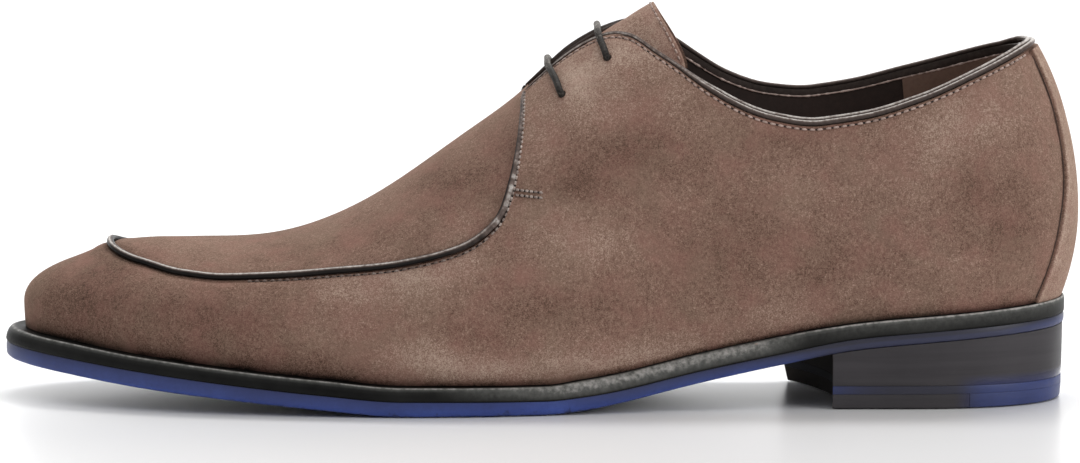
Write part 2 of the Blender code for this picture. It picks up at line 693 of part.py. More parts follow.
def build_lace_bars(cord):
    """Two bars, each up out of one eyelet, over both facings' beads and down into the other eyelet."""
    share = np.array([0.22, 0.45, 0.68])
    clear = COLLAR_PIPING_RADIUS + LACE_RADIUS + GAP
    for number, row in enumerate(EYELETS, 1):
        halves = []
        for side in (OUTER, INNER):
            hole, outward = eyelet(side, row)
            crossing = over_bead(side, row[EYELET_COLUMNS.index("bead_x")], clear)
            x, y = (hole[axis] + (crossing[axis] - hole[axis]) * share for axis in (0, 1))
            place, rise = last.locate(side, x, 1, y)
            over = last.skin(side, place, rise, np.full(len(share), LACE_RADIUS + GAP))
            rim = [hole - outward * LACE_SUNK, hole + outward * LACE_PROUD]
            halves.append(np.concatenate([rim, over, [crossing]]))
        middle = (halves[0][-1] + halves[1][-1]) / 2 + np.array([0, 0, GAP])
        path = np.concatenate([halves[0], [middle], halves[1][::-1]])
        build_tube(f"lace_bar_{number}", path, LACE_RADIUS, cord)


def main():
    for old in list(bpy.data.objects):
        bpy.data.objects.remove(old)
    suede = material("suede", (0.205, 0.128, 0.098), 0.95)
    black = material("black_leather", (0.018, 0.018, 0.019), 0.35)
    lining = material("lining", (0.045, 0.028, 0.022), 0.7)
    blue = material("blue_rubber", (0.035, 0.055, 0.22), 0.45)
    cord = material("waxed_cord", (0.02, 0.018, 0.016), 0.5)
    build_sole_layer("outsole", sole_bottom, outsole_thick, ((0, 0.9), (0.3, 0.15), (1, 0.25)), blue)
    build_sole_layer(
        "midsole",
        lambda x: sole_bottom(x) + outsole_thick(x) + GAP,
        lambda x: midsole_thick(x) - 2 * GAP,
        ((0, 0.35), (0.25, 0.0), (0.7, 0.0), (1, 1.1)),
        black,
    )
    build_insole(lining)
    build_heel(black, blue)
    upper = build_upper(suede)
    punch_eyelets(upper)
    build_tongue(suede)
    build_backstay(suede)
    build_apron_piping(black)
    build_collar_piping(black)
    build_lace_bars(cord)
    for piece in bpy.data.objects:
        piece.location -= Vector((*MIDDLE, 0)) * MM


main()
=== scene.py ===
"""Looks of the left apron derby dress shoe, around the fixed frame of its solids.

Sizes are in millimetres in the last's own frame, as in the part's source, and become metres in the part's
frame where a mesh is made. X runs from the toe (-) to the heel (+), Y from the outer side (-) to the inner
side (+), Z up from the floor.
"""

import math

import bmesh
import bpy
import numpy as np
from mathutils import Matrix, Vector


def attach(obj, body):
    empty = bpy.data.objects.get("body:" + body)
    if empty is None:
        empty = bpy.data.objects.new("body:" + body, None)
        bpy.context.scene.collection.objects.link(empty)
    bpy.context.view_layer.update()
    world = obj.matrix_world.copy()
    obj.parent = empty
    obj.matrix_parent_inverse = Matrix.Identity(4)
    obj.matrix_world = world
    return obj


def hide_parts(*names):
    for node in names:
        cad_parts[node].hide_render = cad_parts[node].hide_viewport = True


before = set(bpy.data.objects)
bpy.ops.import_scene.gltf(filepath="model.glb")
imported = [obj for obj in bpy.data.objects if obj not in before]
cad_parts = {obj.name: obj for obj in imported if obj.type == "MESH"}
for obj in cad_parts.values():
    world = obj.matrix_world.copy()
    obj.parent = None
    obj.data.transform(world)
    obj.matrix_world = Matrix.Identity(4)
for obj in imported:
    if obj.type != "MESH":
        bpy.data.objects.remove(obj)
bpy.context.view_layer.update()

MM = 0.001
OUTER, INNER = SIDES = (-1, 1)
MIDDLE = (0.35, -1.69)
GAP = 0.3

# Camera of the photograph, and the size of its picture
IMAGE_WIDTH = 1080
FOCAL_PIXELS = 5538.0
SENSOR_WIDTH = 36.0
CAMERA_ELEVATION = math.radians(6.0)
CAMERA_DISTANCE = 1600.0
AIM_HEIGHT = 47.1

# Stage, in metres
FLOOR_REACH, FLOOR_DROP, SKY_STRENGTH = 6.0, 0.0003, 0.34


def table(columns, *rows):
    """Columns of a table by name, as arrays."""
    return dict(zip(columns.split(), np.array(rows, float).T))


# Sections of the last from the heel's back to the toe's tip
SECTIONS = table(
    "edge_x outer_y inner_y spine_x spine_y welt swell swell_up ridge outer_full inner_full hollow",
    (149.5, 0, 0, 112, 0, 2, 4.7, 24.5, 121, 1.95, 1.95, 0),
    (145.6, -14.5, 14.5, 111, 0, 2.1, 4.5, 24.5, 121, 1.95, 1.95, 0),
    (133.5, -25.5, 25.5, 108, 0, 2.4, 4, 23.6, 121.5, 2, 2, 0),
    (113.5, -30.8, 30.5, 101, 0, 2.7, 3.6, 22, 122.5, 2, 2, 0),
    (90, -31, 29.5, 87, -0.3, 3, 3.4, 21.1, 123.5, 2, 2, 0),
    (64, -31.8, 26.5, 63, -2, 3.3, 3.6, 20, 123.5, 1.95, 1.95, 0),
    (36, -35, 25.5, 36, -3.2, 3.7, 3.8, 19.3, 118.2, 1.88, 1.9, 0),
    (10, -40.6, 30, 10, -3.5, 4.2, 3.8, 18.6, 103.8, 1.82, 1.88, 0),
    (-6, -43.8, 34, -6, -2.6, 4.5, 3.6, 17.9, 88.9, 1.82, 1.92, 0),
    (-22, -45.9, 38.4, -22, -1.4, 4.8, 3.4, 17.1, 76.9, 1.82, 1.95, 0),
    (-48, -45.8, 42.5, -48, 1, 5.2, 3, 15.1, 58.8, 1.92, 2.05, 0),
    (-76, -42, 42, -74, 2.4, 5.4, 2.6, 13.1, 47.9, 1.98, 2.05, 0.2),
    (-102, -35.8, 38.3, -92, 2.7, 5.6, 2, 11.7, 46.3, 1.98, 2, 0.6),
    (-126, -25.8, 29.8, -102, 2.6, 5.7, 1.2, 9.6, 46.3, 2, 2, 1.8),
    (-142, -14, 19, -104.5, 2.5, 5.7, 0.6, 7.9, 46.4, 2.1, 2.1, 2.8),
    (-149, 2.5, 2.5, -105, 2.5, 5.7, 0.4, 7.4, 46.4, 2.1, 2.1, 3),
)
SWELL_SHARE, HOLLOW_TOP = 0.2, 0.62
SOLE = table(
    "x bottom outsole midsole",
    (-160, 12, 4.2, 4.7),
    (-137, 9.4, 4.4, 4.7),
    (-114, 6.5, 4.5, 4.4),
    (-90, 4.1, 4.3, 4.4),
    (-62, 1.7, 4.1, 4.4),
    (-38, 0, 4.1, 4.2),
    (2, 0, 3.8, 4.3),
    (12, 0.8, 3.8, 4.8),
    (22, 2.5, 3.5, 4.9),
    (45, 7.7, 3.3, 5.05),
    (68, 12.5, 3.1, 5.1),
    (90, 16.7, 3.1, 4.6),
    (113, 18.9, 3, 4.6),
    (160, 22.2, 2.8, 5.2),
)

# Edges of the quarters: each side's topline and the apron seam by z, each side's throat by y
TOPLINE = table(
    "x outer inner",
    (124.5, 95.7, 98),
    (107.5, 88.5, 93.2),
    (93, 84.1, 89.4),
    (80, 82.1, 87.3),
    (66, 83.5, 88),
    (53.8, 88.1, 92),
    (44.3, 94, 97.8),
    (38.8, 98.1, 101.7),
    (32.4, 102.2, 105.6),
)
HEEL_TOP = 102.6
THROAT = table(
    "x outer inner",
    (24.5, -17, 7.6),
    (19, -14.2, 6.2),
    (12.6, -12.2, 4.6),
    (6.6, -10.6, 3.2),
    (1, -9.3, 2.4),
    (-4.2, -9, 2.2),
)
SEAM = table(
    "x z",
    (-4.6, 82.4),
    (-5.2, 75.9),
    (-6.2, 69),
    (-7.7, 62.1),
    (-10, 55.9),
    (-16.2, 49.4),
    (-22.4, 46),
    (-33.6, 42.8),
    (-56.4, 39.5),
    (-79.2, 37.4),
    (-90.6, 36.9),
    (-102.4, 37.7),
    (-114.8, 40),
)
SEAM_FRONT = -125.0
BEAD_REACH = 1.65
FOOT_WINDOW = 42.0

# Small steps that slopes of the last's surface are taken over, and rounds of its point search
PLACE_STEP, RISE_STEP, GIRTH_STEP, RUN_STEP = 0.2, 0.003, 0.002, 0.3
SEARCH_PLACE, SEARCH_RISE, SEARCH_ROUNDS = 0.05, 0.0005, 12

# Layers of the upper, as levels from the quarter's outside
APRON_LEVEL = -1.0
SUEDE_INSIDE = -1.5
LINING_INSIDE = -2.6
BAND_INSIDE = -3.0
EDGE_ROLL = 0.95

# Lighter and darker areas of quarters and apron: partly patches in the napped suede itself, partly painted
# light and shade
NAP_AND_PAINTED_LIGHT = table(
    "x z wide high tone",
    (26, 73, 14, 7, -0.16),
    (8, 64, 9, 5, -0.16),
    (124, 64, 11, 9, -0.14),
    (133, 50, 6, 9, -0.12),
    (64, 46, 20, 9, -0.08),
    (68, 76, 12, 4, -0.10),
    (-2, 30, 14, 6, -0.15),
    (-16, 23, 12, 6, -0.14),
    (-92, 28, 16, 5, -0.10),
    (13, 48, 12, 5, 0.14),
    (-34, 17, 10, 5, 0.16),
    (-13, 13, 12, 3, 0.10),
    (-51, 34, 12, 4, 0.12),
    (9.5, 93, 7, 6, 0.22),
    (24, 100, 9, 5, 0.09),
    (116, 78, 12, 8, 0.10),
    (118, 42, 12, 5, 0.10),
    (-136, 26, 24, 14, -0.11),
    (-102, 22, 26, 9, -0.07),
    (34, 13, 30, 6, 0.24),
    (-14, 12, 24, 5, 0.12),
    (16, 96, 9, 9, 0.08),
    (122, 86, 22, 12, 0.09),
    (106, 66, 14, 9, 0.10),
    (-36, 36, 9, 4, 0.07),
    (-12, 26, 10, 7, 0.10),
    (-126, 35, 14, 7, -0.09),
    (-72, 15, 26, 6, -0.12),
    (72, 26, 10, 5, 0.08),
    (-27, 63, 13, 8, -0.09),
    (-9, 74, 6, 8, -0.08),
    (-22, 51, 9, 5, 0.07),
    (-30, 40, 12, 4, 0.14),
    (-1, 72, 5, 12, 0.08),
    (18, 84, 8, 6, 0.07),
    (22, 102, 12, 5, 0.10),
    (18, 28, 11, 10, -0.07),
    (-66, 32, 12, 5, -0.05),
    (-72, 46, 14, 5, -0.08),
    (-22, 66, 7, 5, -0.05),
    (124, 43, 9, 6, -0.06),
    (-124, 39, 9, 5, -0.07),
    (96, 34, 20, 5, 0.06),
    (112, 34, 34, 10, -0.07),
    (-21, 57, 9, 6, 0.06),
    (3, 57, 7, 6, 0.06),
    (-22, 16, 8, 5, 0.07),
    (-50, 16, 8, 4, 0.06),
    (138, 57, 5, 6, -0.06),
    (44, 36, 34, 12, -0.04),
    (36, 99, 5, 5, 0.07),
    (18, 88, 22, 14, 0.03),
    (-45, 39.5, 15, 2.5, 0.12),
    (-21, 44, 8, 3, 0.12),
)

# Soft troughs (-) and ridges (+) in the quarters, from one point to another
FOLDS = table(
    "x0 z0 x1 z1 wide rise",
    (-6, 62, 22, 59.5, 4.5, -0.55),
    (2, 68, 30, 70, 7, 0.30),
    (-14, 46, 6, 30, 6, -0.35),
    (-2, 50, 18, 36, 7, 0.25),
    (-40, 36, -30, 18, 6, -0.22),
    (-64, 33, -56, 18, 7, -0.18),
    (58, 77, 104, 80, 6, -0.35),
    (60, 40, 84, 58, 9, -0.30),
    (96, 46, 128, 62, 9, -0.30),
    (118, 36, 140, 40, 6, 0.25),
)

# The apron's bead by millimetres along its seam from the throat
# Its tone is the bead's grey round the bend, partly painted sheen
PIPING = table(
    "along radius level aside tone",
    (0, 0.36, -0.30, 0.55, 0.35),
    (6, 0.60, -0.12, 0.70, 0.42),
    (22, 0.68, -0.06, 0.80, 0.38),
    (32, 0.80, 0, 0.90, 0.50),
    (38, 0.88, 0.05, 0.97, 0.72),
    (48, 0.95, 0.11, 1.02, 0.56),
    (56, 0.98, 0.16, 1.05, 0.12),
    (66, 0.98, 0.17, 1.05, 0),
    (120, 1.02, 0.20, 1.05, 0),
)
# Spread in degrees of the bead's painted highlight, and the step of its ruckles
PIPING_SPREAD, RUCKLE_STEP = 24.0, 0.7

# Beads of the free edge; each side's number is its size down the facing
# The angle and spread of each bead place its painted highlight; FACING_LIT is that angle down the facings
BEAD = {"radius": 0.75, "aside": 0.9, "level": -0.75, "painted_highlight_at": 140, "spread": 34, OUTER: 0.56, INNER: 1.2}
ROLL = {"radius": 0.62, "aside": 2.05, "level": -1.7, "painted_highlight_at": 120, "spread": 45, OUTER: 0.12, INNER: 1.0}
FACING_LIFT = 0.5
FACING_LIT = {OUTER: 46.0, INNER: 190.0}

# Back strip, tongue, counter, lace and insole
BACKSTAY_HALF = {"foot": 22.2, "middle": 13.8, "top": 11.4}
BACKSTAY_LEVEL, BACKSTAY_FLARE, BACKSTAY_MEAN = 1.1, 0.6, 14.0
TONGUE_LENGTH, TONGUE_WIDTH, TONGUE_THICK = 62.0, 40.0, 1.2
TONGUE_LEVEL = {"foot": -3.6, "neck": -3.9, "top": -2.8, "sides": -0.7}
TONGUE_RIDGE_X, TONGUE_EDGE_RISE = (-13.0, 31.5), (0.86, 0.82)
TONGUE_LEAN, TONGUE_ROUND = 0.61, 0.04
TONGUE_ROW = 1.5
COUNTER_FRONT = 105.8
LACE_RADIUS, LACE_SINK, LACE_FLAT, LACE_FACES = 1.0, 3.0, 0.35, 14
LACE_CORE = (-3.0, 70.0)
EYELET_RADIUS, PUNCH_DEPTH = 1.2, 12.0
EYELETS = table(
    "x z crossing_x",
    (6.2, 88.8, 2.2),
    (19.1, 99.1, 16.5),
)
INSOLE_THICK, INSOLE_INSET, INSOLE_DISH = 2.0, 3.2, 0.4

# Levels of the midsole from its bottom up: insets, more at the waist and the tip, and tones of edge and face
# Edge tones are a painted highlight along the top edge; face tones are painted sheen on the waist's slope
MIDSOLE = table(
    "share inset waist tip edge face",
    (0, 0.35, 0, 0, 0, 0),
    (0.06, 0.1, 0, 0, 0, 0.1),
    (0.16, 0, 0, 0, 0, 0.35),
    (0.45, 0, 0.15, 0.3, 0, 0.75),
    (0.7, 0, 0.55, 0.8, 0.05, 1),
    (0.86, 0.05, 1, 1.3, 0.35, 1),
    (0.94, 0.18, 1.3, 1.6, 0.9, 0.9),
    (0.985, 0.4, 1.5, 1.9, 0.9, 0.6),
    (1, 0.75, 1.7, 2.1, 0.2, 0.2),
    (0.97, 1.3, 1.8, 2.1, 0, 0),
)

# Levels of the outsole from its bottom up, and how dull its blue is along x
OUTSOLE = table(
    "share inset ragged",
    (0, 1, 0.12),
    (0.05, 0.6, 0.14),
    (0.12, 0.35, 0.12),
    (0.24, 0.18, 0.05),
    (0.5, 0.12, 0),
    (0.8, 0.15, 0),
    (1, 0.3, 0),
)
DULLNESS = table(
    "x tone",
    (-150, -0.50),
    (-110, -0.36),
    (-50, -0.30),
    (-14, -0.10),
    (2, 0),
    (14, -0.22),
    (30, -0.48),
    (60, -0.58),
    (84, -0.90),
    (130, -0.90),
    (150, -0.60),
)
SOLE_STATIONS = 170
# Tone of the outsole's worn dark underside, also painted shade on the lift's hollow breast
WORN_AND_SHADED_TONE = 3.0

# Heel; the stack's side is given by insets and heights
BREAST_OUTER_X, BREAST_INNER_X = 83.0, 70.5
BREAST_HOLLOW, BREAST_LEAN = 6.0, 2.8
LIFT_TOP, LIFT_BOTTOM = 6.4, 4.1
TOP_PIECE_TOP = 3.8
TOP_PIECE_SPLIT, SPLIT_SLIT = 0.47, 0.0007
LIFT_INSET, FLOOR_INSET, BEVEL, CLEAR = 0.8, 1.1, 0.04, 0.05
STACK_SIDE = ((0.75, 8.0), (0.7, 9.5), (0.6, 14.0), (0.5, 30.0))

# Rows of sewing: a stitch covers that share of its pitch, and several numbers are spread along the row
COLLAR_STITCH = {"pitch": 2.25, "radius": 0.32, "share": 0.6}
BEND_STITCH = {"pitch": 1.65, "radius": (0.39, 0.39, 0.35), "share": 0.6, "tone": (-0.12, -0.05, -0.2)}
FRONT_STITCH = {"pitch": 2.2, "radius": 0.34, "share": 0.5, "tone": (-0.25, -0.4, -0.5)}
TACK_STITCH = {"pitch": 1.3, "radius": 0.38, "share": 0.55, "tone": -0.1}
TONGUE_STITCH = {"pitch": 2.0, "radius": 0.3, "share": 0.68}
WELT_STITCH = {"pitch": 2.7, "radius": 0.3, "share": 0.5}
STITCH_LEVEL = -0.2
TACK_X, TACK_Z, TACK_SLOPE, TACK_APART, TACK_LEVEL = (-7.0, 0.9), 62.9, 0.10, 1.4, -0.25
WELT_ROW_X, WELT_ROW_INSET, WELT_ROW_DOWN = (76.5, 60.0), 1.35, 0.95

# Grids: columns along the free edge and the seam, and distances of the close rows beside an edge
WALL_FREE, WALL_SEAM, WALL_ROWS = 200, 190, 46
LINING_FREE, LINING_SEAM = 110, 90
APRON_COLUMNS, APRON_ROWS = 170, 26
WALL_EDGE = np.array([3.6, 3, 2.5, 2.1, 1.75, 1.45, 1.15, 0.9, 0.65, 0.42, 0.22, 0.08, 0])
APRON_EDGE = np.array([0, 0.25, 0.55, 0.9, 1.3, 1.8, 2.5, 3.4])
TONGUE_EDGE = np.array([0, 0.12, 0.3, 0.6, 1])
BACKSTAY_EDGE = np.array([0, 0.12, 0.3, 0.6, 1, 1.6]) / BACKSTAY_MEAN
CORD_TIP, BEAD_FACES = 3, 18
BEAD_ANGLES = np.linspace(0, 360, BEAD_FACES + 1)[None]

chance = np.random.default_rng(5)


def between(value, *pairs):
    """Read off straight lines through (place, value) pairs."""
    return np.interp(value, *zip(*pairs))


def bell(distance, width):
    """1 at no distance, falling off softly over that width."""
    return np.exp(-(distance / width) ** 2)


def unit(vectors):
    return vectors / np.linalg.norm(vectors, axis=-1, keepdims=True)


def arc(path):
    """Length along a path up to each of its points; the first axis runs along it."""
    steps = np.linalg.norm(np.diff(path, axis=0), axis=-1)
    return np.concatenate([np.zeros((1, *steps.shape[1:])), np.cumsum(steps, axis=0)])


def hermite(knots, gap, values, slope, place):
    """Cubic through values with those slopes at knots; gap is the distance after each knot."""
    i = np.clip(np.searchsorted(knots, place, side="right") - 1, 0, len(gap) - 1)
    j = (i + 1) % len(knots)
    s = (place - knots[i]) / gap[i]
    return (
        values[i] * (1 + 2 * s) * (1 - s) ** 2
        + slope[i] * gap[i] * s * (1 - s) ** 2
        + values[j] * s * s * (3 - 2 * s)
        + slope[j] * gap[i] * s * s * (s - 1)
    )


def periodic_spline(knots, period, values):
    """A smooth closed curve through values at knots: a function of the place along it."""
    n = len(knots)
    gap = np.diff(np.append(knots, knots[0] + period))
    rise = (np.roll(values, -1) - values) / gap
    system = np.zeros((n, n))
    right = np.zeros(n)
    for i in range(n):
        before = gap[i - 1]
        system[i, i] = 2 * (before + gap[i])
        system[i, i - 1] += gap[i]
        system[i, (i + 1) % n] += before
        right[i] = 3 * (gap[i] * rise[i - 1] + before * rise[i])
    slope = np.linalg.solve(system, right)

    def curve(place):
        place = np.mod(np.asarray(place, float) - knots[0], period) + knots[0]
        return hermite(knots, gap, values, slope, place)

    return curve


def monotone_curve(knots, values, level_ends=False):
    """A curve through values at knots that never overshoots them."""
    knots, values = np.asarray(knots, float), np.asarray(values, float)
    gap, rise = np.diff(knots), np.diff(values) / np.diff(knots)
    slope = np.zeros(len(knots))
    if not level_ends:
        slope[0], slope[-1] = rise[0], rise[-1]
    for i in range(1, len(knots) - 1):
        if rise[i - 1] * rise[i] > 0:
            a, b = 2 * gap[i] + gap[i - 1], gap[i] + 2 * gap[i - 1]
            slope[i] = (a + b) / (a / rise[i - 1] + b / rise[i])

    def curve(place):
        return hermite(knots, gap, values, slope, np.clip(np.asarray(place, float), knots[0], knots[-1]))

    return curve


def smooth_path(points, count):
    """A round curve through points, as a finer row of points."""
    points = np.asarray(points, float)
    step = np.diff(arc(points)) ** 0.5
    knots = np.concatenate([[0], np.cumsum(step)])
    fine = np.linspace(0, knots[-1], count)
    slopes = np.gradient(points, knots, axis=0)
    return np.stack([hermite(knots, step, points[:, k], slopes[:, k], fine) for k in range(3)], -1)


sole_bottom, outsole_thick, midsole_thick = (
    monotone_curve(SOLE["x"], SOLE[name]) for name in ("bottom", "outsole", "midsole")
)


def sole_top(x):
    """Height of the feather edge: the top of the midsole."""
    return sole_bottom(x) + outsole_thick(x) + midsole_thick(x)


class Last:
    """The outside of the quarters as a surface of (side, place, rise).

    place runs from 0 at the heel's back to self.toe at the toe's tip, in millimetres along the feather
    edge, and rise from 0 at the feather edge to 1 on the ridge.
    """

    def __init__(self):
        half_width = (SECTIONS["inner_y"] - SECTIONS["outer_y"]) / 2
        half = arc(np.stack([SECTIONS["edge_x"], half_width], -1))
        self.toe = half[-1]
        knots = np.concatenate([half, 2 * self.toe - half[-2:0:-1]])

        def closed(outer, inner):
            both = np.concatenate([SECTIONS[outer], SECTIONS[inner][-2:0:-1]])
            return periodic_spline(knots, 2 * self.toe, both)

        self.edge_y = closed("outer_y", "inner_y")
        self.full = closed("outer_full", "inner_full")
        self.shared = {c: closed(c, c) for c in SECTIONS if not c.startswith(("outer", "inner"))}
        place, rise = np.meshgrid(np.linspace(0, self.toe, 121), np.linspace(0.15, 0.99, 57), indexing="ij")
        self.seeds = place, rise, {s: self.point(s, place, rise) for s in SIDES}

    def around(self, side, place):
        """Place on the whole closed outline, outer side first."""
        place = np.asarray(place, float)
        return np.where(np.asarray(side) < 0, place, 2 * self.toe - place)

    def point(self, side, place, rise):
        place, rise = np.broadcast_arrays(np.asarray(place, float), np.asarray(rise, float))
        loop = self.around(side, place)
        row = {c: curve(loop) for c, curve in self.shared.items()}
        reach_x, reach_y = row["edge_x"] - row["spine_x"], self.edge_y(loop) - row["spine_y"]
        foot = np.hypot(reach_x, reach_y)
        wide = foot + row["swell"]
        foot_z = sole_top(row["edge_x"])
        wide_z = foot_z + row["swell_up"]
        low = np.clip(rise / SWELL_SHARE, 0, 1)
        turn = np.clip((rise - SWELL_SHARE) / (1 - SWELL_SHARE), 0, 1) * math.pi / 2
        full, high = self.full(loop), row["ridge"] - wide_z
        out, up = np.maximum(np.cos(turn), 0), np.maximum(np.sin(turn), 0)
        radius = ((out / wide) ** full + (up / high) ** full) ** (-1 / full)
        sunk = np.clip((rise - SWELL_SHARE) / (HOLLOW_TOP - SWELL_SHARE), 0, 1) * math.pi
        radius = radius - row["hollow"] * np.sin(sunk) ** 2
        upper = rise > SWELL_SHARE
        away = np.where(upper, radius * out, foot + row["swell"] * (1 - (1 - low) ** 2))
        z = np.where(upper, wide_z + radius * up, foot_z + row["swell_up"] * low)
        x = row["spine_x"] + reach_x / foot * away
        y = row["spine_y"] + reach_y / foot * away
        return np.stack([x, y, z], -1)

    def side_normal(self, side, place, rise):
        """Outward direction of one side's surface."""
        ahead = self.point(side, place + PLACE_STEP, rise) - self.point(side, place - PLACE_STEP, rise)
        upward = self.point(side, place, rise + RISE_STEP) - self.point(side, place, rise - RISE_STEP)
        return unit(np.cross(ahead, upward) * np.where(np.asarray(side) < 0, -1.0, 1.0)[..., None])

    def normal(self, side, place, rise):
        """Outward direction, shared by both sides where they meet on the ridge."""
        place, rise = np.broadcast_arrays(np.asarray(place, float), np.asarray(rise, float))
        below = np.clip(rise, 0.004, 0.97)
        mine = self.side_normal(side, place, below)
        other = self.side_normal(-np.asarray(side), place, below)
        shared = np.clip((rise - 0.9) / 0.1, 0, 1)[..., None] / 2
        return unit(mine * (1 - shared) + other * shared)

    def skin(self, side, place, rise, level):
        """The surface moved out by level."""
        out = np.broadcast_to(level, np.broadcast(place, rise).shape)[..., None]
        return self.point(side, place, rise) + self.normal(side, place, rise) * out

    def locate(self, side, x, axis, value):
        """(places, rises) of the surface points with those x and those y (axis 1) or z (axis 2)."""
        x, value = np.broadcast_arrays(np.asarray(x, float), np.asarray(value, float))
        places, rises, points = self.seeds
        seed_x, seed_value = points[side][..., 0].ravel(), points[side][..., axis].ravel()
        best = np.hypot(seed_x - x[..., None], seed_value - value[..., None]).argmin(-1)
        place, rise = places.ravel()[best], rises.ravel()[best]
        for _ in range(SEARCH_ROUNDS):
            at = self.point(side, place, rise)
            by_place = (self.point(side, place + SEARCH_PLACE, rise) - at) / SEARCH_PLACE
            by_rise = (self.point(side, place, rise + SEARCH_RISE) - at) / SEARCH_RISE
            miss_x, miss = x - at[..., 0], value - at[..., axis]
            size = by_place[..., 0] * by_rise[..., axis] - by_place[..., axis] * by_rise[..., 0]
            place = place + (miss_x * by_rise[..., axis] - miss * by_rise[..., 0]) / size
            rise = rise + (by_place[..., 0] * miss - by_place[..., axis] * miss_x) / size
            place, rise = np.clip(place, 0, self.toe), np.clip(rise, 0.02, 0.999)
        return place, rise

    def outline(self, side, place, out):
        """The feather edge in plan, moved out by that much, as x and y."""
        loop = self.around(side, place)
        x, y = self.shared["edge_x"], self.edge_y
        ahead_x, ahead_y = (curve(loop + PLACE_STEP) - curve(loop - PLACE_STEP) for curve in (x, y))
        size = np.hypot(ahead_x, ahead_y)
        return x(loop) - ahead_y / size * out, y(loop) + ahead_x / size * out

    def place_at(self, x):
        """Place on the feather edge at that x."""
        places = np.linspace(0, self.toe, 601)
        return np.interp(-np.asarray(x, float), -self.shared["edge_x"](places), places)


last = Last()


class Quarter:
    """One quarter: its upper edge by run, from the heel's back over topline, facing and seam to the toe."""

    def __init__(self, side):
        self.side = side
        name = "outer" if side == OUTER else "inner"
        back = [[0.0, self._rise_on(0.0, 2, HEEL_TOP)]]
        topline = self._nodes(TOPLINE["x"], 2, TOPLINE[name])
        throat = self._nodes(THROAT["x"], 1, THROAT[name])
        seam = self._nodes(SEAM["x"], 2, SEAM["z"])
        front = [[last.toe, self._rise_on(last.toe, 0, SEAM_FRONT)]]
        free = np.concatenate([back, topline, throat])
        free[:, 1] -= BEAD_REACH / self._girth_speed(*free.T)
        nodes = np.concatenate([free, seam, front])
        run = arc(last.point(side, *nodes.T))
        self.length, self.throat_foot = run[-1], run[len(free) - 1]
        self.facing_top = run[len(back) + len(topline) - 1]
        self._place, self._rise = monotone_curve(run, nodes[:, 0]), monotone_curve(run, nodes[:, 1], True)
        self._runs = np.linspace(0, self.length, 801)
        window = self._runs + np.linspace(-FOOT_WINDOW, FOOT_WINDOW, 43)[:, None]
        inside = np.clip(window, 0, self.length)
        evened = (self._place(inside) + window - inside).mean(0)
        share = self._runs / self.length
        self._feet = evened - evened[0] * (1 - share) - (evened[-1] - last.toe) * share

    def _nodes(self, x, axis, value):
        return np.stack(last.locate(self.side, x, axis, value), -1)

    def _girth_speed(self, place, rise):
        above, under = (last.point(self.side, place, rise + step) for step in (GIRTH_STEP, -GIRTH_STEP))
        return np.linalg.norm(above - under, axis=-1) / (2 * GIRTH_STEP)

    def _rise_on(self, place, axis, value):
        rises = np.linspace(0.1, 1, 900)
        values = last.point(self.side, place, rises)[:, axis]
        order = np.argsort(values)
        return float(np.interp(value, values[order], rises[order]))

    def at(self, run):
        return self._place(run), self._rise(run)

    def run_at(self, x):
        """Run of the topline's point at that x."""
        runs = np.linspace(0, self.facing_top, 300)
        return float(np.interp(-x, -last.point(self.side, *self.at(runs))[:, 0], runs))

    def rise_near_heel(self, place):
        """Rise of the topline at places near the heel's back."""
        return np.interp(place, *self.at(np.linspace(0, 40, 81)))

    def _columns(self, run):
        """(feet, edge places, edge rises, shares, heights up the panel) for each run."""
        place, rise = self.at(run)
        foot = np.interp(run, self._runs, self._feet)
        share = np.linspace(0, 1, 121)[:, None]
        height = arc(last.point(self.side, foot + (place - foot) * share, rise * share))
        return foot, place, rise, share[:, 0], height

    def drop(self, run):
        """Length down the panel from its edge to the feather edge."""
        return self._columns(run)[-1][-1]

    def below(self, run, down):
        """(place, rise) at distances down the panel from its edge, a row for each distance."""
        foot, place, rise, share, height = self._columns(run)
        down = np.broadcast_to(down, (np.shape(down)[0], len(run)))
        up = height[-1] - down
        shares = np.stack([np.interp(up[:, i], height[:, i], share) for i in range(len(run))], -1)
        return foot + (place - foot) * shares, rise * shares

    def row(self, run, down, level=0.0):
        """(points, outward directions) of a line that far down the panel from its edge."""
        place, rise = self.below(run, np.broadcast_to(down, len(run))[None])
        return last.skin(self.side, place[0], rise[0], level), last.normal(self.side, place[0], rise[0])

    def beside(self, run, level, aside):
        """(points, outward directions) along the edge, out by level and off the quarter by aside."""
        place, rise = self.at(run)
        outward = last.normal(self.side, place, rise)
        after, before = (last.point(self.side, *self.at(run + step)) for step in (RUN_STEP, -RUN_STEP))
        off = np.cross(outward, unit(after - before)) * self.side
        level, aside = (np.broadcast_to(v, len(run))[:, None] for v in (level, aside))
        return last.point(self.side, place, rise) + outward * level + off * aside, outward


quarters = {side: Quarter(side) for side in SIDES}


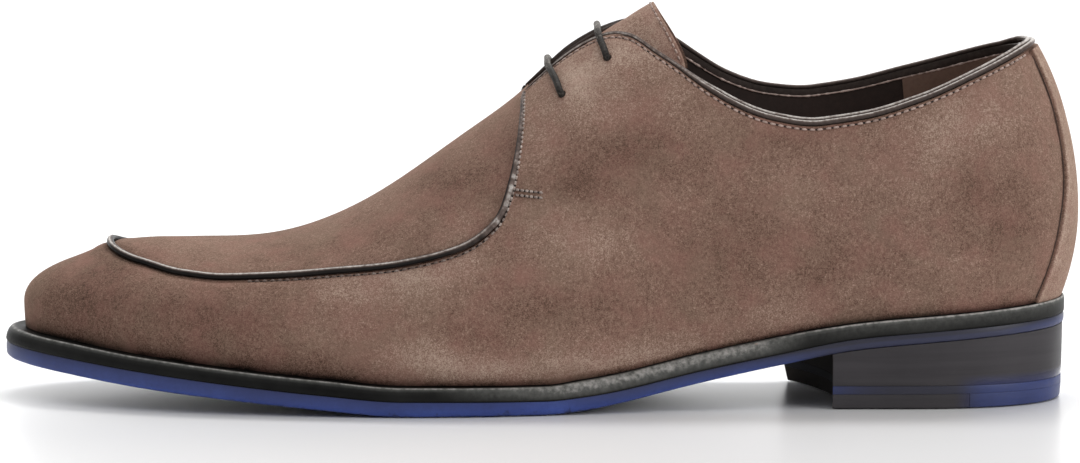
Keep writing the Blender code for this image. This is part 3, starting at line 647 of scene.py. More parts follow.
class Shell:
    """Grids of points in millimetres, welded into one mesh, with a tone for each point."""

    WELD = 0.002

    def __init__(self):
        self.points, self.tones, self.quads = [], [], []
        self.count = 0

    def add(self, grid, tone=0.0):
        rows, cols = grid.shape[:2]
        index = self.count + np.arange(rows * cols).reshape(rows, cols)
        corners = (index[:-1, :-1], index[:-1, 1:], index[1:, 1:], index[1:, :-1])
        self.quads.append(np.stack(corners, -1).reshape(-1, 4))
        self.points.append(grid.reshape(-1, 3))
        self.tones.append(np.broadcast_to(tone, (rows, cols)).ravel())
        self.count += rows * cols
        return self

    def join(self, first, second, tone=0.0):
        """A strip between two rows of points."""
        return self.add(np.stack([first, second]), tone)

    def wrap(self, outside, inside, tone=0.0, inside_tone=0.0):
        """Two sheets of the same grid, closed round their rims."""
        self.add(outside, tone)
        self.add(inside, inside_tone)
        rim_tone = np.broadcast_to(tone, outside.shape[:2])
        for cut in (np.s_[0], np.s_[-1], np.s_[:, 0], np.s_[:, -1]):
            self.join(outside[cut], inside[cut], rim_tone[cut])
        return self

    def block(self, levels, tone=0.0):
        """A body from grids of points, one for each level, from the bottom up."""
        levels = np.array(levels)
        tone = np.broadcast_to(tone, levels.shape[:3])
        for cut in (np.s_[0], np.s_[-1], np.s_[:, :, 0], np.s_[:, :, -1], np.s_[:, 0], np.s_[:, -1]):
            self.add(levels[cut], tone[cut])
        return self

    def build(self, name, finish, slot, sharp=50.0, replaces=()):
        points, tones = np.concatenate(self.points), np.concatenate(self.tones)
        keys = np.round(points / self.WELD).astype(np.int64)
        _, first, weld = np.unique(keys, axis=0, return_index=True, return_inverse=True)
        faces = []
        for quad in weld.reshape(-1)[np.concatenate(self.quads)].tolist():
            corners = list(dict.fromkeys(quad))
            if len(corners) > 2:
                faces.append(corners)
        data = bpy.data.meshes.new(name)
        data.from_pydata((points[first] - (*MIDDLE, 0.0)) * MM, [], faces)
        mesh = bmesh.new()
        mesh.from_mesh(data)
        bmesh.ops.recalc_face_normals(mesh, faces=mesh.faces)
        mesh.to_mesh(data)
        mesh.free()
        attribute = data.attributes.new("tone", "FLOAT", "POINT")
        attribute.data.foreach_set("value", tones[first].astype(np.float32))
        data.shade_smooth()
        data.set_sharp_from_angle(angle=math.radians(sharp))
        data.materials.append(finish)
        piece = link(name, data)
        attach(piece, "root")
        if replaces:
            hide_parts(*replaces)
        return piece


def link(name, data):
    """A new object in the scene."""
    made = bpy.data.objects.new(name, data)
    bpy.context.scene.collection.objects.link(made)
    return made


def sweep(path, outward, radius, flat=1.0, sides=8):
    """Rings of a cord with round ends along a path; flat squeezes it along the outward directions."""
    count = len(path)
    radius, flat = (np.broadcast_to(row, count) for row in (radius, flat))
    ahead = unit(np.gradient(path, axis=0))
    across = unit(np.cross(ahead, outward))
    up = np.cross(across, ahead)
    turn = np.linspace(0, math.pi / 2, CORD_TIP + 1)[1:]
    index = np.concatenate([np.zeros(CORD_TIP, int), np.arange(count), np.full(CORD_TIP, -1)])
    shift = np.concatenate([-np.sin(turn[::-1]), np.zeros(count), np.sin(turn)])
    size = np.concatenate([np.cos(turn[::-1]), np.ones(count), np.cos(turn)])
    size = np.where(size < 1e-9, 0.0, size)
    centre = path[index] + ahead[index] * (shift * radius[index])[:, None]
    angle = np.linspace(0, 2 * math.pi, sides + 1)
    wide = (size * radius[index])[:, None] * np.cos(angle)
    high = (size * radius[index] * flat[index])[:, None] * np.sin(angle)
    return centre[:, None] + across[index][:, None] * wide[..., None] + up[index][:, None] * high[..., None]


def ends_held(values):
    """Values for the rows of a swept cord, held over its round ends."""
    return np.pad(values, CORD_TIP, "edge")[:, None]


def sew(thread, holes, path, outward, pitch, radius, share, tone=0.0):
    """A row of stitches along a path on a surface, with a needle hole between each two in painted shade."""
    lengths = arc(path)
    length = lengths[-1]
    count = max(int(length / pitch), 1)
    pitch = length / count
    tones, sizes = (
        np.interp(np.linspace(0, 1, count), np.linspace(0, 1, np.size(row)), np.ravel(row))
        for row in (tone, radius)
    )

    def read(at):
        at = np.clip(at, 0, length)
        return (
            np.stack([np.interp(at, lengths, rows[:, k]) for k in range(3)], -1) for rows in (path, outward)
        )

    bow = np.linspace(-1, 1, 6)
    for i in range(count):
        middle = (i + 0.5) * pitch + chance.normal(0, 0.03) * pitch
        reach = pitch * share / 2 * chance.uniform(0.92, 1.06)
        spots, normals = read(middle + bow * reach)
        lift = sizes[i] * (0.75 - 1.15 * bow ** 4) * chance.uniform(0.85, 1.1)
        body = sizes[i] * (1 - 0.35 * bow ** 4)
        shade = tones[i] + chance.normal(0, 0.12)
        thread.add(sweep(spots + normals * lift[:, None], normals, body, 0.8), shade)
        if holes is not None:
            spots, normals = read(i * pitch + bow[1:5] * sizes[i] * 0.7)
            holes.add(sweep(spots, normals, sizes[i] * 0.8, 0.5), -0.3)


def srgb(*levels):
    """Linear colour of an 8-bit screen colour."""
    shares = np.array(levels) / 255
    return tuple(np.where(shares <= 0.04045, shares / 12.92, ((shares + 0.055) / 1.055) ** 2.4))


def is_socket(value):
    return hasattr(value, "is_linked")


class Finish:
    """A Principled material, built up node by node."""

    def __init__(self, name, **sockets):
        self.made = bpy.data.materials.new(name)
        self.made.use_nodes = True
        self.tree = self.made.node_tree
        self.shader = self.tree.nodes["Principled BSDF"]
        self.place = self.node("TexCoord", "Object")
        for socket, value in sockets.items():
            self.set(socket.replace("_", " "), value)

    def put(self, socket, value):
        if is_socket(value):
            self.tree.links.new(value, socket)
        else:
            socket.default_value = value

    def set(self, socket, value):
        self.put(self.shader.inputs[socket], value)

    def node(self, kind, output, inputs=(), **settings):
        """The output of a new node with those inputs and settings."""
        node = self.tree.nodes.new(f"ShaderNode{kind}")
        for name, value in settings.items():
            setattr(node, name, value)
        for socket, value in dict(inputs).items():
            self.put(node.inputs[socket], value)
        return node.outputs[output]

    def noise(self, scale, detail=3.0, rough=0.6, stretch=(1, 1, 1), swirl=0.0):
        """Noise of about 1 / scale metres, from 0 to 1."""
        place = self.node("Mapping", "Vector", {"Vector": self.place, "Scale": stretch})
        grain = {"Scale": scale, "Detail": detail, "Roughness": rough, "Distortion": swirl}
        return self.node("TexNoise", "Fac", {"Vector": place, **grain})

    def tone(self):
        return self.node("Attribute", "Fac", attribute_name="tone")

    def calc(self, operation, *inputs):
        return self.node("Math", 0, enumerate(inputs), operation=operation)

    def sum(self, start, *terms):
        """start plus each (value, centre, weight): weight times how far the value is from its centre."""
        total = start
        for value, centre, weight in terms:
            shift = -centre * weight
            total = self.calc("ADD", total, shift) if is_socket(total) else total + shift
            total = self.calc("MULTIPLY_ADD", value, weight, total)
        return total

    def ramp(self, factor, *stops):
        node = self.tree.nodes.new("ShaderNodeValToRGB")
        band = node.color_ramp
        while len(band.elements) < len(stops):
            band.elements.new(0.5)
        for element, (position, colour) in zip(band.elements, stops):
            element.position = position
            element.color = (*colour, 1.0)
        self.put(node.inputs["Fac"], factor)
        return node.outputs["Color"]

    def mix(self, factor, first, second):
        """Between a colour socket and a plain colour, by a factor held from 0 to 1."""
        node = self.tree.nodes.new("ShaderNodeMix")
        node.data_type = "RGBA"
        node.clamp_factor = True
        self.put(node.inputs["Factor"], factor)
        start, stop = (s for s in node.inputs if s.type == "RGBA")
        self.put(start, first)
        self.put(stop, (*second, 1.0))
        return next(s for s in node.outputs if s.type == "RGBA")

    def bump(self, height, strength, distance):
        inputs = {"Strength": strength, "Distance": distance * MM, "Height": height}
        before = self.shader.inputs["Normal"].links
        if before:
            inputs["Normal"] = before[0].from_socket
        self.set("Normal", self.node("Bump", "Normal", inputs))


def suede_finish(name):
    """Napped taupe suede: fine fibres, and slow clouds of tone that turn rosy or olive."""
    suede = Finish(name, Roughness=0.92, Sheen_Weight=0.16, Sheen_Roughness=0.45, Specular_IOR_Level=0.15)
    suede.set("Sheen Tint", (*srgb(238, 208, 176), 1.0))
    fibre = suede.noise(3000, 2.0, 0.75)
    pile = suede.noise(1250, 2.0, 0.6, (1.0, 1.0, 0.8))
    patch = suede.noise(140, swirl=0.8)
    cloud = suede.noise(26, 2.0, 0.5, swirl=0.6)
    value = suede.sum(
        0.60,
        (fibre, 0.5, 1.1), (pile, 0.5, 0.5), (patch, 0.5, 0.22), (cloud, 0.5, 0.22), (suede.tone(), 0, 1),
    )
    colour = suede.ramp(
        value,
        (0.0, srgb(20, 14, 12)), (0.22, srgb(72, 52, 44)), (0.45, srgb(112, 86, 74)),
        (0.68, srgb(143, 115, 101)), (1.0, srgb(192, 168, 152)),
    )
    rosy, olive = suede.noise(95), suede.noise(70, swirl=0.5)
    colour = suede.mix(suede.sum(0.08, (rosy, 0.5, 1.8)), colour, srgb(144, 104, 94))
    suede.set("Base Color", suede.mix(suede.sum(0.02, (olive, 0.5, 1.4)), colour, srgb(128, 109, 93)))
    suede.bump(fibre, 0.35, 0.3)
    suede.bump(patch, 0.2, 0.5)
    return suede.made


def black_leather_finish(name, black, worn, pale, rough, grain, shine):
    """Smooth black leather; a tone of about a half is grey, partly painted sheen, and 1 is a pale painted
    highlight.
    """
    leather = Finish(name, Specular_IOR_Level=shine)
    fine, broad = leather.noise(grain), leather.noise(60)
    tint_and_highlight = leather.calc("MULTIPLY", leather.tone(), leather.sum(1.0, (fine, 0.5, 1.5)))
    value = leather.sum(0.03, (broad, 0.5, 0.15), (tint_and_highlight, 0, 1))
    stops = (0.0, srgb(*black)), (0.55, srgb(*worn)), (1.0, srgb(*pale))
    leather.set("Base Color", leather.ramp(value, *stops))
    leather.set("Roughness", leather.sum(rough, (broad, 0.5, 0.3), (fine, 0.5, 0.2)))
    leather.bump(fine, 0.2, 0.2)
    return leather.made


def lining_finish(name, dark, light):
    """Matt lining leather with a soft grain."""
    lining = Finish(name, Roughness=0.75)
    fine, broad = lining.noise(700), lining.noise(45)
    value = lining.sum(0.5, (fine, 0.5, 0.6), (broad, 0.5, 0.8), (lining.tone(), 0, 1))
    lining.set("Base Color", lining.ramp(value, (0.15, srgb(*dark)), (0.85, srgb(*light))))
    lining.bump(fine, 0.25, 0.3)
    return lining.made


def thread_finish(name, dark, light):
    """Twisted thread, a little uneven in colour."""
    thread = Finish(name, Roughness=0.7, Sheen_Weight=0.15)
    twist = thread.noise(2600, 2.0, 0.5)
    value = thread.sum(0.5, (twist, 0.5, 1.0), (thread.tone(), 0, 1))
    thread.set("Base Color", thread.ramp(value, (0.1, srgb(*dark)), (0.9, srgb(*light))))
    thread.bump(twist, 0.4, 0.15)
    return thread.made


def rubber_finish(name):
    """Blue rubber: a tone below 0 is duller, and above 0 rough and specked as along its lower edge; darkest
    on the underside and, as painted shade, on the lift's breast.
    """
    rubber = Finish(name, Specular_IOR_Level=0.3)
    fine, broad, speck = rubber.noise(800, 3.0, 0.7), rubber.noise(40), rubber.noise(520, 2.0)
    tone = rubber.tone()
    lively = rubber.ramp(
        rubber.sum(0.5, (broad, 0.5, 0.9), (fine, 0.5, 0.35)),
        (0.1, srgb(44, 56, 112)), (0.5, srgb(56, 74, 142)), (0.95, srgb(76, 100, 178)),
    )
    dull = rubber.mix(rubber.sum(0.0, (tone, 0, -1)), lively, srgb(54, 54, 66))
    worn = rubber.sum(-0.35, (tone, 0, 0.75), (speck, 0.5, 3.0))
    rubber.set("Base Color", rubber.mix(worn, dull, srgb(36, 35, 40)))
    rougher = rubber.calc("MAXIMUM", worn, 0.0)
    rubber.set("Roughness", rubber.sum(0.42, (fine, 0.5, 0.3), (rougher, 0, 0.4)))
    rubber.bump(fine, 0.15, 0.2)
    return rubber.made


def stack_finish(name):
    """Black heel leather in layers; a tone above 0 is the breast's brown, darkened as painted shade in its
    hollow, below 0 the rear's blue.
    """
    stack = Finish(name, Specular_IOR_Level=0.15)
    layers, broad = stack.noise(60, 2.0, 0.5, (0.35, 0.35, 9.0)), stack.noise(70)
    black = stack.ramp(
        stack.sum(0.5, (layers, 0.5, 0.8), (broad, 0.5, 0.4)),
        (0.1, srgb(54, 52, 54)), (0.9, srgb(76, 73, 76)),
    )
    tone = stack.tone()
    brown = stack.mix(tone, black, srgb(34, 27, 23))
    stack.set("Base Color", stack.mix(stack.sum(0.0, (tone, 0, -1)), brown, srgb(56, 62, 104)))
    stack.set("Roughness", stack.sum(0.42, (broad, 0.5, 0.3), (tone, 0, 0.5)))
    stack.bump(layers, 0.12, 0.2)
    return stack.made


def cord_finish(name):
    """Waxed dark lace cord with a fine braid; a tone above 0 is a painted highlight."""
    cord = Finish(name, Specular_IOR_Level=0.2)
    braid = cord.noise(1500, 2.0, 0.5)
    value = cord.sum(0.36, (braid, 0.5, 1.2), (cord.tone(), 0, 1))
    stops = (0.12, srgb(14, 12, 11)), (0.55, srgb(58, 53, 49)), (1.0, srgb(178, 172, 162))
    cord.set("Base Color", cord.ramp(value, *stops))
    cord.set("Roughness", cord.sum(0.6, (braid, 0.5, 0.3)))
    cord.bump(braid, 0.5, 0.25)
    return cord.made


def folds(points):
    """How far the listed troughs and ridges move points of a quarter."""
    x, z = points[..., 0], points[..., 2]
    moved = np.zeros(x.shape)
    for x0, z0, x1, z1, wide, rise in zip(*FOLDS.values()):
        run_x, run_z = x1 - x0, z1 - z0
        share = np.clip(((x - x0) * run_x + (z - z0) * run_z) / (run_x ** 2 + run_z ** 2), 0, 1)
        moved += rise * bell(np.hypot(x - x0 - share * run_x, z - z0 - share * run_z), wide)
    return moved


def nap_and_painted_light(points):
    """Tone of the listed lighter and darker areas: patches in the napped suede itself, and painted light and
    shade.
    """
    x, z = points[..., 0], points[..., 2]
    rows = zip(*NAP_AND_PAINTED_LIGHT.values())
    return sum(tone * bell(x - at_x, wide) * bell(z - at_z, high) for at_x, at_z, wide, high, tone in rows)


def stitch_down(quarter, run):
    """Distance of the stitch row from the quarter's edge."""
    top = quarter.facing_top - quarter.throat_foot
    return between(
        run - quarter.throat_foot,
        (top - 20, 1.05), (top, 1.3), (-6, 1.3), (0, 1.6), (9, 1.85), (22, 1.8), (26, 1.9),
        (32, 1.6), (40, 1.35), (50, 1.1), (80, 0.95),
    )


def edge_roll(distance, radius):
    """How far a rounded edge drops, that far in from it."""
    inside = np.clip(radius - distance, 0, radius)
    return -(radius - np.sqrt(radius ** 2 - inside ** 2))


def quarter_runs(quarter, free, seam):
    """Runs along the whole edge, so many along the free edge and so many along the seam."""
    foot = quarter.throat_foot
    return np.concatenate([np.linspace(0, foot, free + 1), np.linspace(foot, quarter.length, seam + 1)[1:]])


def backstay_half(share):
    """Half width of the back strip, that share of the way up."""
    return monotone_curve([0, 0.5, 1], [BACKSTAY_HALF[k] for k in ("foot", "middle", "top")])(share)


def wall_half(side):
    """(outside points, inside points, tones) of one quarter from the feather edge up, heel to toe."""
    quarter = quarters[side]
    run = quarter_runs(quarter, WALL_FREE, WALL_SEAM)
    drop = quarter.drop(run)
    share = np.linspace(1, 0, WALL_ROWS + 1)[:-1, None]
    down = np.concatenate([
        WALL_EDGE[0] + (drop - WALL_EDGE[0]) * share ** 1.1,
        np.broadcast_to(WALL_EDGE[:, None], (len(WALL_EDGE), len(run))),
    ])
    up = drop - down
    place, rise = quarter.below(run, down)
    plain = last.point(side, place, rise)
    trough = bell(down - stitch_down(quarter, run), 0.5)
    strip = bell(place - backstay_half(1 - down / drop) - 0.2, 0.45)
    level = edge_roll(down, EDGE_ROLL) + folds(plain) * np.clip(down / 4, 0, 1) - 0.2 * trough - 0.15 * strip
    level += 0.16 * bell(down - 3.4, 1.2)
    # Painted shade in the stitch row, by the back strip, at the edge and in the crevice at the foot
    tone = nap_and_painted_light(plain) - 0.16 * trough - 0.12 * strip
    tone -= 0.45 * bell(up, 0.9) + 0.12 * bell(up, 2.5) + 0.15 * bell(down, 0.5)
    outside = last.skin(side, place, rise, level)
    place, rise = quarter.below(run, drop * np.linspace(1, 0, 13)[:, None])
    return outside, last.skin(side, place, rise, SUEDE_INSIDE), tone


def round_toe(outer, inner):
    """One grid from the heel round the toe and back to the heel, from its two halves."""
    return np.concatenate([outer, inner[:, -2::-1]], axis=1)


def over_heel(outer, inner, axis=0):
    """One row or grid from the outer side round the heel's back to the inner side, from its two halves."""
    return np.concatenate([np.flip(outer, axis), np.delete(inner, 0, axis)], axis)


def build_wall(suede):
    """Both quarters and the toe's wall as one panel of suede."""
    outside, inside, tone = (round_toe(*pair) for pair in zip(*map(wall_half, SIDES)))
    shell = Shell().add(outside, tone).add(inside)
    # The bottom rim against the midsole is darkened as painted shade.
    shell.join(outside[0], inside[0], -0.3).join(outside[-1], inside[-1], tone[-1])
    return shell.build("quarters", suede, "suede", replaces=["upper"])


def build_lining(leather):
    """Lining of the quarters and the toe's wall."""
    def half(side, level, rows):
        quarter = quarters[side]
        run = quarter_runs(quarter, LINING_FREE, LINING_SEAM)
        place, rise = quarter.below(run, quarter.drop(run) * np.linspace(0.995, 0.003, rows)[:, None])
        return last.skin(side, place, rise, level)

    outside, inside = (
        round_toe(*(half(side, level, rows) for side in SIDES))
        for level, rows in ((SUEDE_INSIDE - 0.1, 8), (LINING_INSIDE, 24))
    )
    shell = Shell().add(outside).add(inside)
    shell.join(outside[0], inside[0]).join(outside[-1], inside[-1])
    return shell.build("lining", leather, "lining")


def band_width(quarter, run):
    """Width of the black band inside the topline."""
    x = last.point(quarter.side, *quarter.at(run))[:, 0]
    return between(x, (75, 0.1), (82, 0.15), (103, 0.35), (118, 0.7))


def build_collar_band(leather):
    """Black band inside the topline and the facings, up to the rolled edge."""
    def half(side, level):
        quarter = quarters[side]
        run = np.linspace(0, quarter.throat_foot - 9.0, 150)
        place, rise = quarter.below(run, band_width(quarter, run) * np.linspace(1, 0, 7)[:, None])
        above = [quarter.beside(run, level + lift, aside)[0] for aside, lift in ((0.7, 0.1), (1.5, 0.4))]
        return np.concatenate([last.skin(side, place, rise, level), np.array(above)])

    levels = (BAND_INSIDE, LINING_INSIDE + 0.15)
    layers = (over_heel(*(half(side, level) for side in SIDES), axis=1) for level in levels)
    return Shell().wrap(*layers, 0.15, 0.15).build("collar_band", leather, "black_leather")


def build_band_edge(leather):
    """Pale cut edge of the lining under the band."""
    paths = []
    for quarter in quarters.values():
        run = np.linspace(0, quarter.facing_top - 4, 170)
        paths.append(quarter.row(run, band_width(quarter, run) + 0.25, BAND_INSIDE + 0.25))
    path, outward = (over_heel(*pair) for pair in zip(*paths))
    uneven = chance.normal(0, 0.06, len(path))
    shell = Shell().add(sweep(path, outward, 0.38 + uneven, 0.8), ends_held(uneven * 2.5))
    return shell.build("lining_edge", leather, "lining")


def build_counter_lining(leather):
    """Lighter lining behind the heel, inside the quarters."""
    def half(side, level):
        quarter = quarters[side]
        run = np.linspace(0, quarter.run_at(COUNTER_FRONT), 50)
        low, top = quarter.drop(run) * 0.97, band_width(quarter, run) - 0.3
        place, rise = quarter.below(run, top + (low - top) * np.linspace(1, 0, 30)[:, None])
        return last.skin(side, place, rise, level)

    levels = (BAND_INSIDE + 0.1, LINING_INSIDE + 0.1)
    layers = (over_heel(*(half(side, level) for side in SIDES), axis=1) for level in levels)
    return Shell().wrap(*layers).build("counter_lining", leather, "lining")


def apron_half(side):
    """(outside points, inside points, tones) of half the apron, from the seam to the ridge."""
    runs = {s: np.linspace(q.throat_foot, q.length, APRON_COLUMNS + 1) for s, q in quarters.items()}
    place, rise = quarters[side].at(runs[side])
    ridge = (place + quarters[-side].at(runs[-side])[0]) / 2

    def spot(share):
        return place + (ridge - place) * share, rise + (1 - rise) * share

    fine = np.linspace(0, 1, 101)
    length = arc(last.point(side, *spot(fine[:, None])))
    edge = np.stack([np.interp(APRON_EDGE, row, fine) for row in length.T], -1)
    rest = np.linspace(0, 1, APRON_ROWS + 1)[1:, None]
    share = np.concatenate([edge, edge[-1] + (1 - edge[-1]) * rest])
    distance = share * length[-1]
    at = spot(share)
    level = APRON_LEVEL - 0.5 * bell(distance, 1.1) + 0.25 * bell(distance - 3.2, 2.2)
    # Painted shade where the apron dips by the bead, and a little all over against the light on its top
    tone = nap_and_painted_light(last.point(side, *at)) - 0.3 * bell(distance, 0.9) - 0.04
    return last.skin(side, *at, level), last.skin(side, *at, LINING_INSIDE), tone


def build_apron(suede):
    """The raised tongue-shaped vamp inside the seam."""
    shell = Shell()
    for outside, inside, tone in map(apron_half, SIDES):
        shell.add(outside, tone).add(inside)
        # The rim at the seam, under the bead, is darkened as painted shade.
        shell.join(outside[0], inside[0], -0.3).join(outside[:, 0], inside[:, 0])
    return shell.build("apron", suede, "suede")


def painted_highlight(degrees, spread):
    """Tones round a bead, paler about an angle as a painted highlight: 90 degrees is straight out, 180 off
    the quarter.
    """
    return bell(BEAD_ANGLES - degrees, spread)


def piping_row(quarter, run):
    """Radius, level, offset and tone of the apron's bead at those runs."""
    into = run - quarter.throat_foot
    return [np.interp(into, PIPING["along"], PIPING[c]) for c in ("radius", "level", "aside", "tone")]


def build_apron_piping(leather):
    """Bead in the apron seam: thin at the throat, ruckled and pale grey at its bend, partly painted sheen,
    glossy in front with a painted highlight.
    """
    halves = []
    for quarter in quarters.values():
        run = np.linspace(quarter.throat_foot + 0.5, quarter.length, 420)
        radius, level, aside, tone = piping_row(quarter, run)
        spots = np.arange(0, quarter.length, RUCKLE_STEP)
        ruckle = np.interp(run, spots, chance.uniform(-1, 1, len(spots)))
        radius, tone = radius * (1 + 0.16 * ruckle * np.clip(tone, 0.1, 1)), tone * (1 + 0.55 * ruckle)
        into = run - quarter.throat_foot
        shine = between(into, (42, 0), (58, 0.85), (90, 0.95), (120, 1.1))
        lit = between(into, (40, 60), (60, 70), (110, 82))
        halves.append((*quarter.beside(run, level, aside), radius, tone, shine, lit))
    path, outward, radius, tone, shine, lit = (np.concatenate([a[:-1], b[::-1]]) for a, b in zip(*halves))
    # worn greys the bead but keeps its apron side black as painted shade; shine and lit place a painted
    # highlight
    worn = between(BEAD_ANGLES, (50, 0), (84, 1), (200, 1), (260, 0))
    tones = ends_held(tone) * worn + ends_held(shine) * painted_highlight(ends_held(lit), PIPING_SPREAD)
    shell = Shell().add(sweep(path, outward, radius, 1.0, BEAD_FACES), tones)
    return shell.build("apron_piping", leather, "black_leather", replaces=["apron_piping"])


def free_edge(shape):
    """Rings and tones of a bead round the whole free edge, of its own size down each facing, with a painted
    highlight.
    """
    halves = []
    for side, quarter in quarters.items():
        top, foot = quarter.facing_top, quarter.throat_foot
        run = np.linspace(0, foot - 0.8, 300)
        facing = between(run, (top - 22, 0), (top + 3, 1))
        size = 1 + (shape[side] - 1) * facing
        level = shape["level"] * (0.4 + 0.6 * np.minimum(size, 1)) + FACING_LIFT * facing
        level = level + between(run, (9, BACKSTAY_LEVEL + BACKSTAY_FLARE), (16, 0))
        taper = between(run, (foot - 15, 1), (foot, 0.3))
        # pale and lit: painted highlight; grey: own grey, plus painted highlight on the near facing and the
        # heel
        if side == OUTER:
            pale = between(
                run, (top - 22, 0.7), (top, 0.12), (top + 10, 0.42), (foot - 10, 0.42), (foot, 0.3),
            )
            lit = shape["painted_highlight_at"] * (1 - facing) + FACING_LIT[side] * facing
            grey = 0.18 + 0.2 * facing
        else:
            pale, lit, grey = 0.35 - 0.2 * facing, np.full(len(run), FACING_LIT[side]), 0.18 - 0.08 * facing
        path, outward = quarter.beside(run, level, shape["aside"] * size)
        halves.append((path, outward, shape["radius"] * size * taper, pale, lit, grey + 0.5 * bell(run, 8)))
    path, outward, radius, pale, lit, grey = (over_heel(*pair) for pair in zip(*halves))
    tones = ends_held(pale) * painted_highlight(ends_held(lit), shape["spread"]) + ends_held(grey)
    return sweep(path, outward, radius, 1.0, BEAD_FACES), tones


def build_collar_piping(leather):
    """Bead on the topline, and the rolled edge of the lining beside it."""
    for name, shape, nodes in (("collar_piping", BEAD, ["collar_piping"]), ("collar_roll", ROLL, [])):
        Shell().add(*free_edge(shape)).build(name, leather, "black_leather", replaces=nodes)


def build_backstay(suede):
    """Strip over the heel's back seam."""
    share = np.concatenate([[0.004, 0.012, 0.03], np.linspace(0.06, 0.94, 50), [0.965, 0.98, 0.99]])[:, None]
    half = backstay_half(share)
    middle = np.linspace(-1, 1, 23)[2:-2]
    split = np.concatenate([-1 + BACKSTAY_EDGE, middle, (1 - BACKSTAY_EDGE)[::-1]])[None]
    place = np.abs(split) * half
    side = np.broadcast_to(np.where(split < 0, OUTER, INNER), place.shape)
    top = np.where(split < 0, *(quarters[s].rise_near_heel(place) for s in SIDES))
    edge = (1 - np.abs(split)) * half
    ridge = bell(edge - 1.0, 0.6)
    level = BACKSTAY_LEVEL + edge_roll(edge, 0.6) + 0.15 * ridge
    level = level + BACKSTAY_FLARE * np.clip((share - 0.7) / 0.3, 0, 1) * np.clip(edge / 6, 0, 1)
    # Painted light and shade: strip lighter, partly its own suede; dark edge groove; pale ridge beside it
    tone = 0.16 - 0.25 * bell(edge, 0.25) + 0.10 * ridge
    shell = Shell().wrap(*(last.skin(side, place, top * share, out) for out in (level, -0.1)), tone)
    return shell.build("backstay", suede, "suede", replaces=["backstay"])


def ends_dense(count, size):
    """Shares from 0 to 1, closer together at both ends of a stretch of that size."""
    near = TONGUE_EDGE / size
    return np.concatenate([near, np.linspace(near[-1], 1 - near[-1], count)[1:-1], 1 - near[::-1]])


def tongue_spot(share, across):
    """(sides, places, rises) of the tongue; across runs from -1 on the outer edge to 1 on the inner edge."""
    share = share * (1 - TONGUE_ROUND * np.abs(across) ** 8)
    ridge_x, edge_rise = (
        foot + (top - foot) * share for foot, top in (TONGUE_RIDGE_X, TONGUE_EDGE_RISE)
    )
    ridge_z = last.shared["ridge"](last.place_at(ridge_x))
    rise = 1 - (1 - edge_rise) * np.abs(across)
    side = np.broadcast_to(np.where(across < 0, OUTER, INNER), rise.shape)
    place = last.place_at(ridge_x)
    for _ in range(8):
        place = last.place_at(ridge_x + TONGUE_LEAN * (ridge_z - last.point(side, place, rise)[..., 2]))
    return side, place, rise


def tongue_level(share, across):
    """Level of the tongue's face: it sinks under the facings and stands up again at its tip."""
    middle = np.interp(share, [0, 0.8, 1], [TONGUE_LEVEL[k] for k in ("foot", "neck", "top")])
    return middle + TONGUE_LEVEL["sides"] * np.abs(across) ** 2


def build_tongue(suede):
    """Loose suede tongue with a rounded cut edge."""
    share, across = ends_dense(44, TONGUE_LENGTH)[:, None], 2 * ends_dense(34, TONGUE_WIDTH)[None] - 1
    spot = tongue_spot(share, across)
    edge = np.minimum(np.minimum(share, 1 - share) * TONGUE_LENGTH, (1 - np.abs(across)) * TONGUE_WIDTH / 2)
    row = bell(edge - TONGUE_ROW, 0.5)
    face = tongue_level(share, across)
    # Painted shade on the cut edge, against the light on it, and in the sunk stitch row
    tone = 0.14 - 0.14 * bell(edge, 0.35) - 0.10 * row
    levels = (face + edge_roll(edge, 0.55) - 0.15 * row, face - TONGUE_THICK)
    shell = Shell().wrap(*(last.skin(*spot, level) for level in levels), tone)
    return shell.build("tongue", suede, "suede", replaces=["tongue"])


def eyelet(side, number):
    """(point on the quarter's outside, outward direction) of one punched hole."""
    spot = last.locate(side, EYELETS["x"][number], 2, EYELETS["z"][number])
    return last.point(side, *spot), last.normal(side, *spot)


PAIRS = range(len(EYELETS["x"]))


def punch_eyelets(*pieces):
    """Cuts the lace holes through the quarters and their lining."""
    punches = []
    for number in PAIRS:
        for side in SIDES:
            point, outward = eyelet(side, number)
            mesh = bmesh.new()
            radius = EYELET_RADIUS * MM
            bmesh.ops.create_cone(
                mesh, cap_ends=True, segments=24, radius1=radius, radius2=radius, depth=PUNCH_DEPTH * MM,
            )
            data = bpy.data.meshes.new("punch")
            mesh.to_mesh(data)
            mesh.free()
            punch = link("punch", data)
            punch.location = (point - (*MIDDLE, 0.0)) * MM
            punch.rotation_mode = "QUATERNION"
            punch.rotation_quaternion = Vector(outward).to_track_quat("Z", "Y")
            for piece in pieces:
                cut = piece.modifiers.new(punch.name, "BOOLEAN")
                cut.operation = "DIFFERENCE"
                cut.solver = "EXACT"
                cut.object = punch
            punches.append(punch)
    bpy.context.view_layer.update()
    graph = bpy.context.evaluated_depsgraph_get()
    for piece in pieces:
        cut_mesh = bpy.data.meshes.new_from_object(piece.evaluated_get(graph))
        piece.modifiers.clear()
        piece.data = cut_mesh
    for punch in punches:
        bpy.data.objects.remove(punch)


def over_bead(side, x, level):
    """Point over the bead of one facing at that x."""
    quarter = quarters[side]
    run = np.linspace(quarter.throat_foot - 45, quarter.throat_foot, 91)
    path = quarter.beside(run, level, BEAD_REACH)[0]
    return np.array([np.interp(-x, -path[:, 0], path[:, axis]) for axis in range(3)])


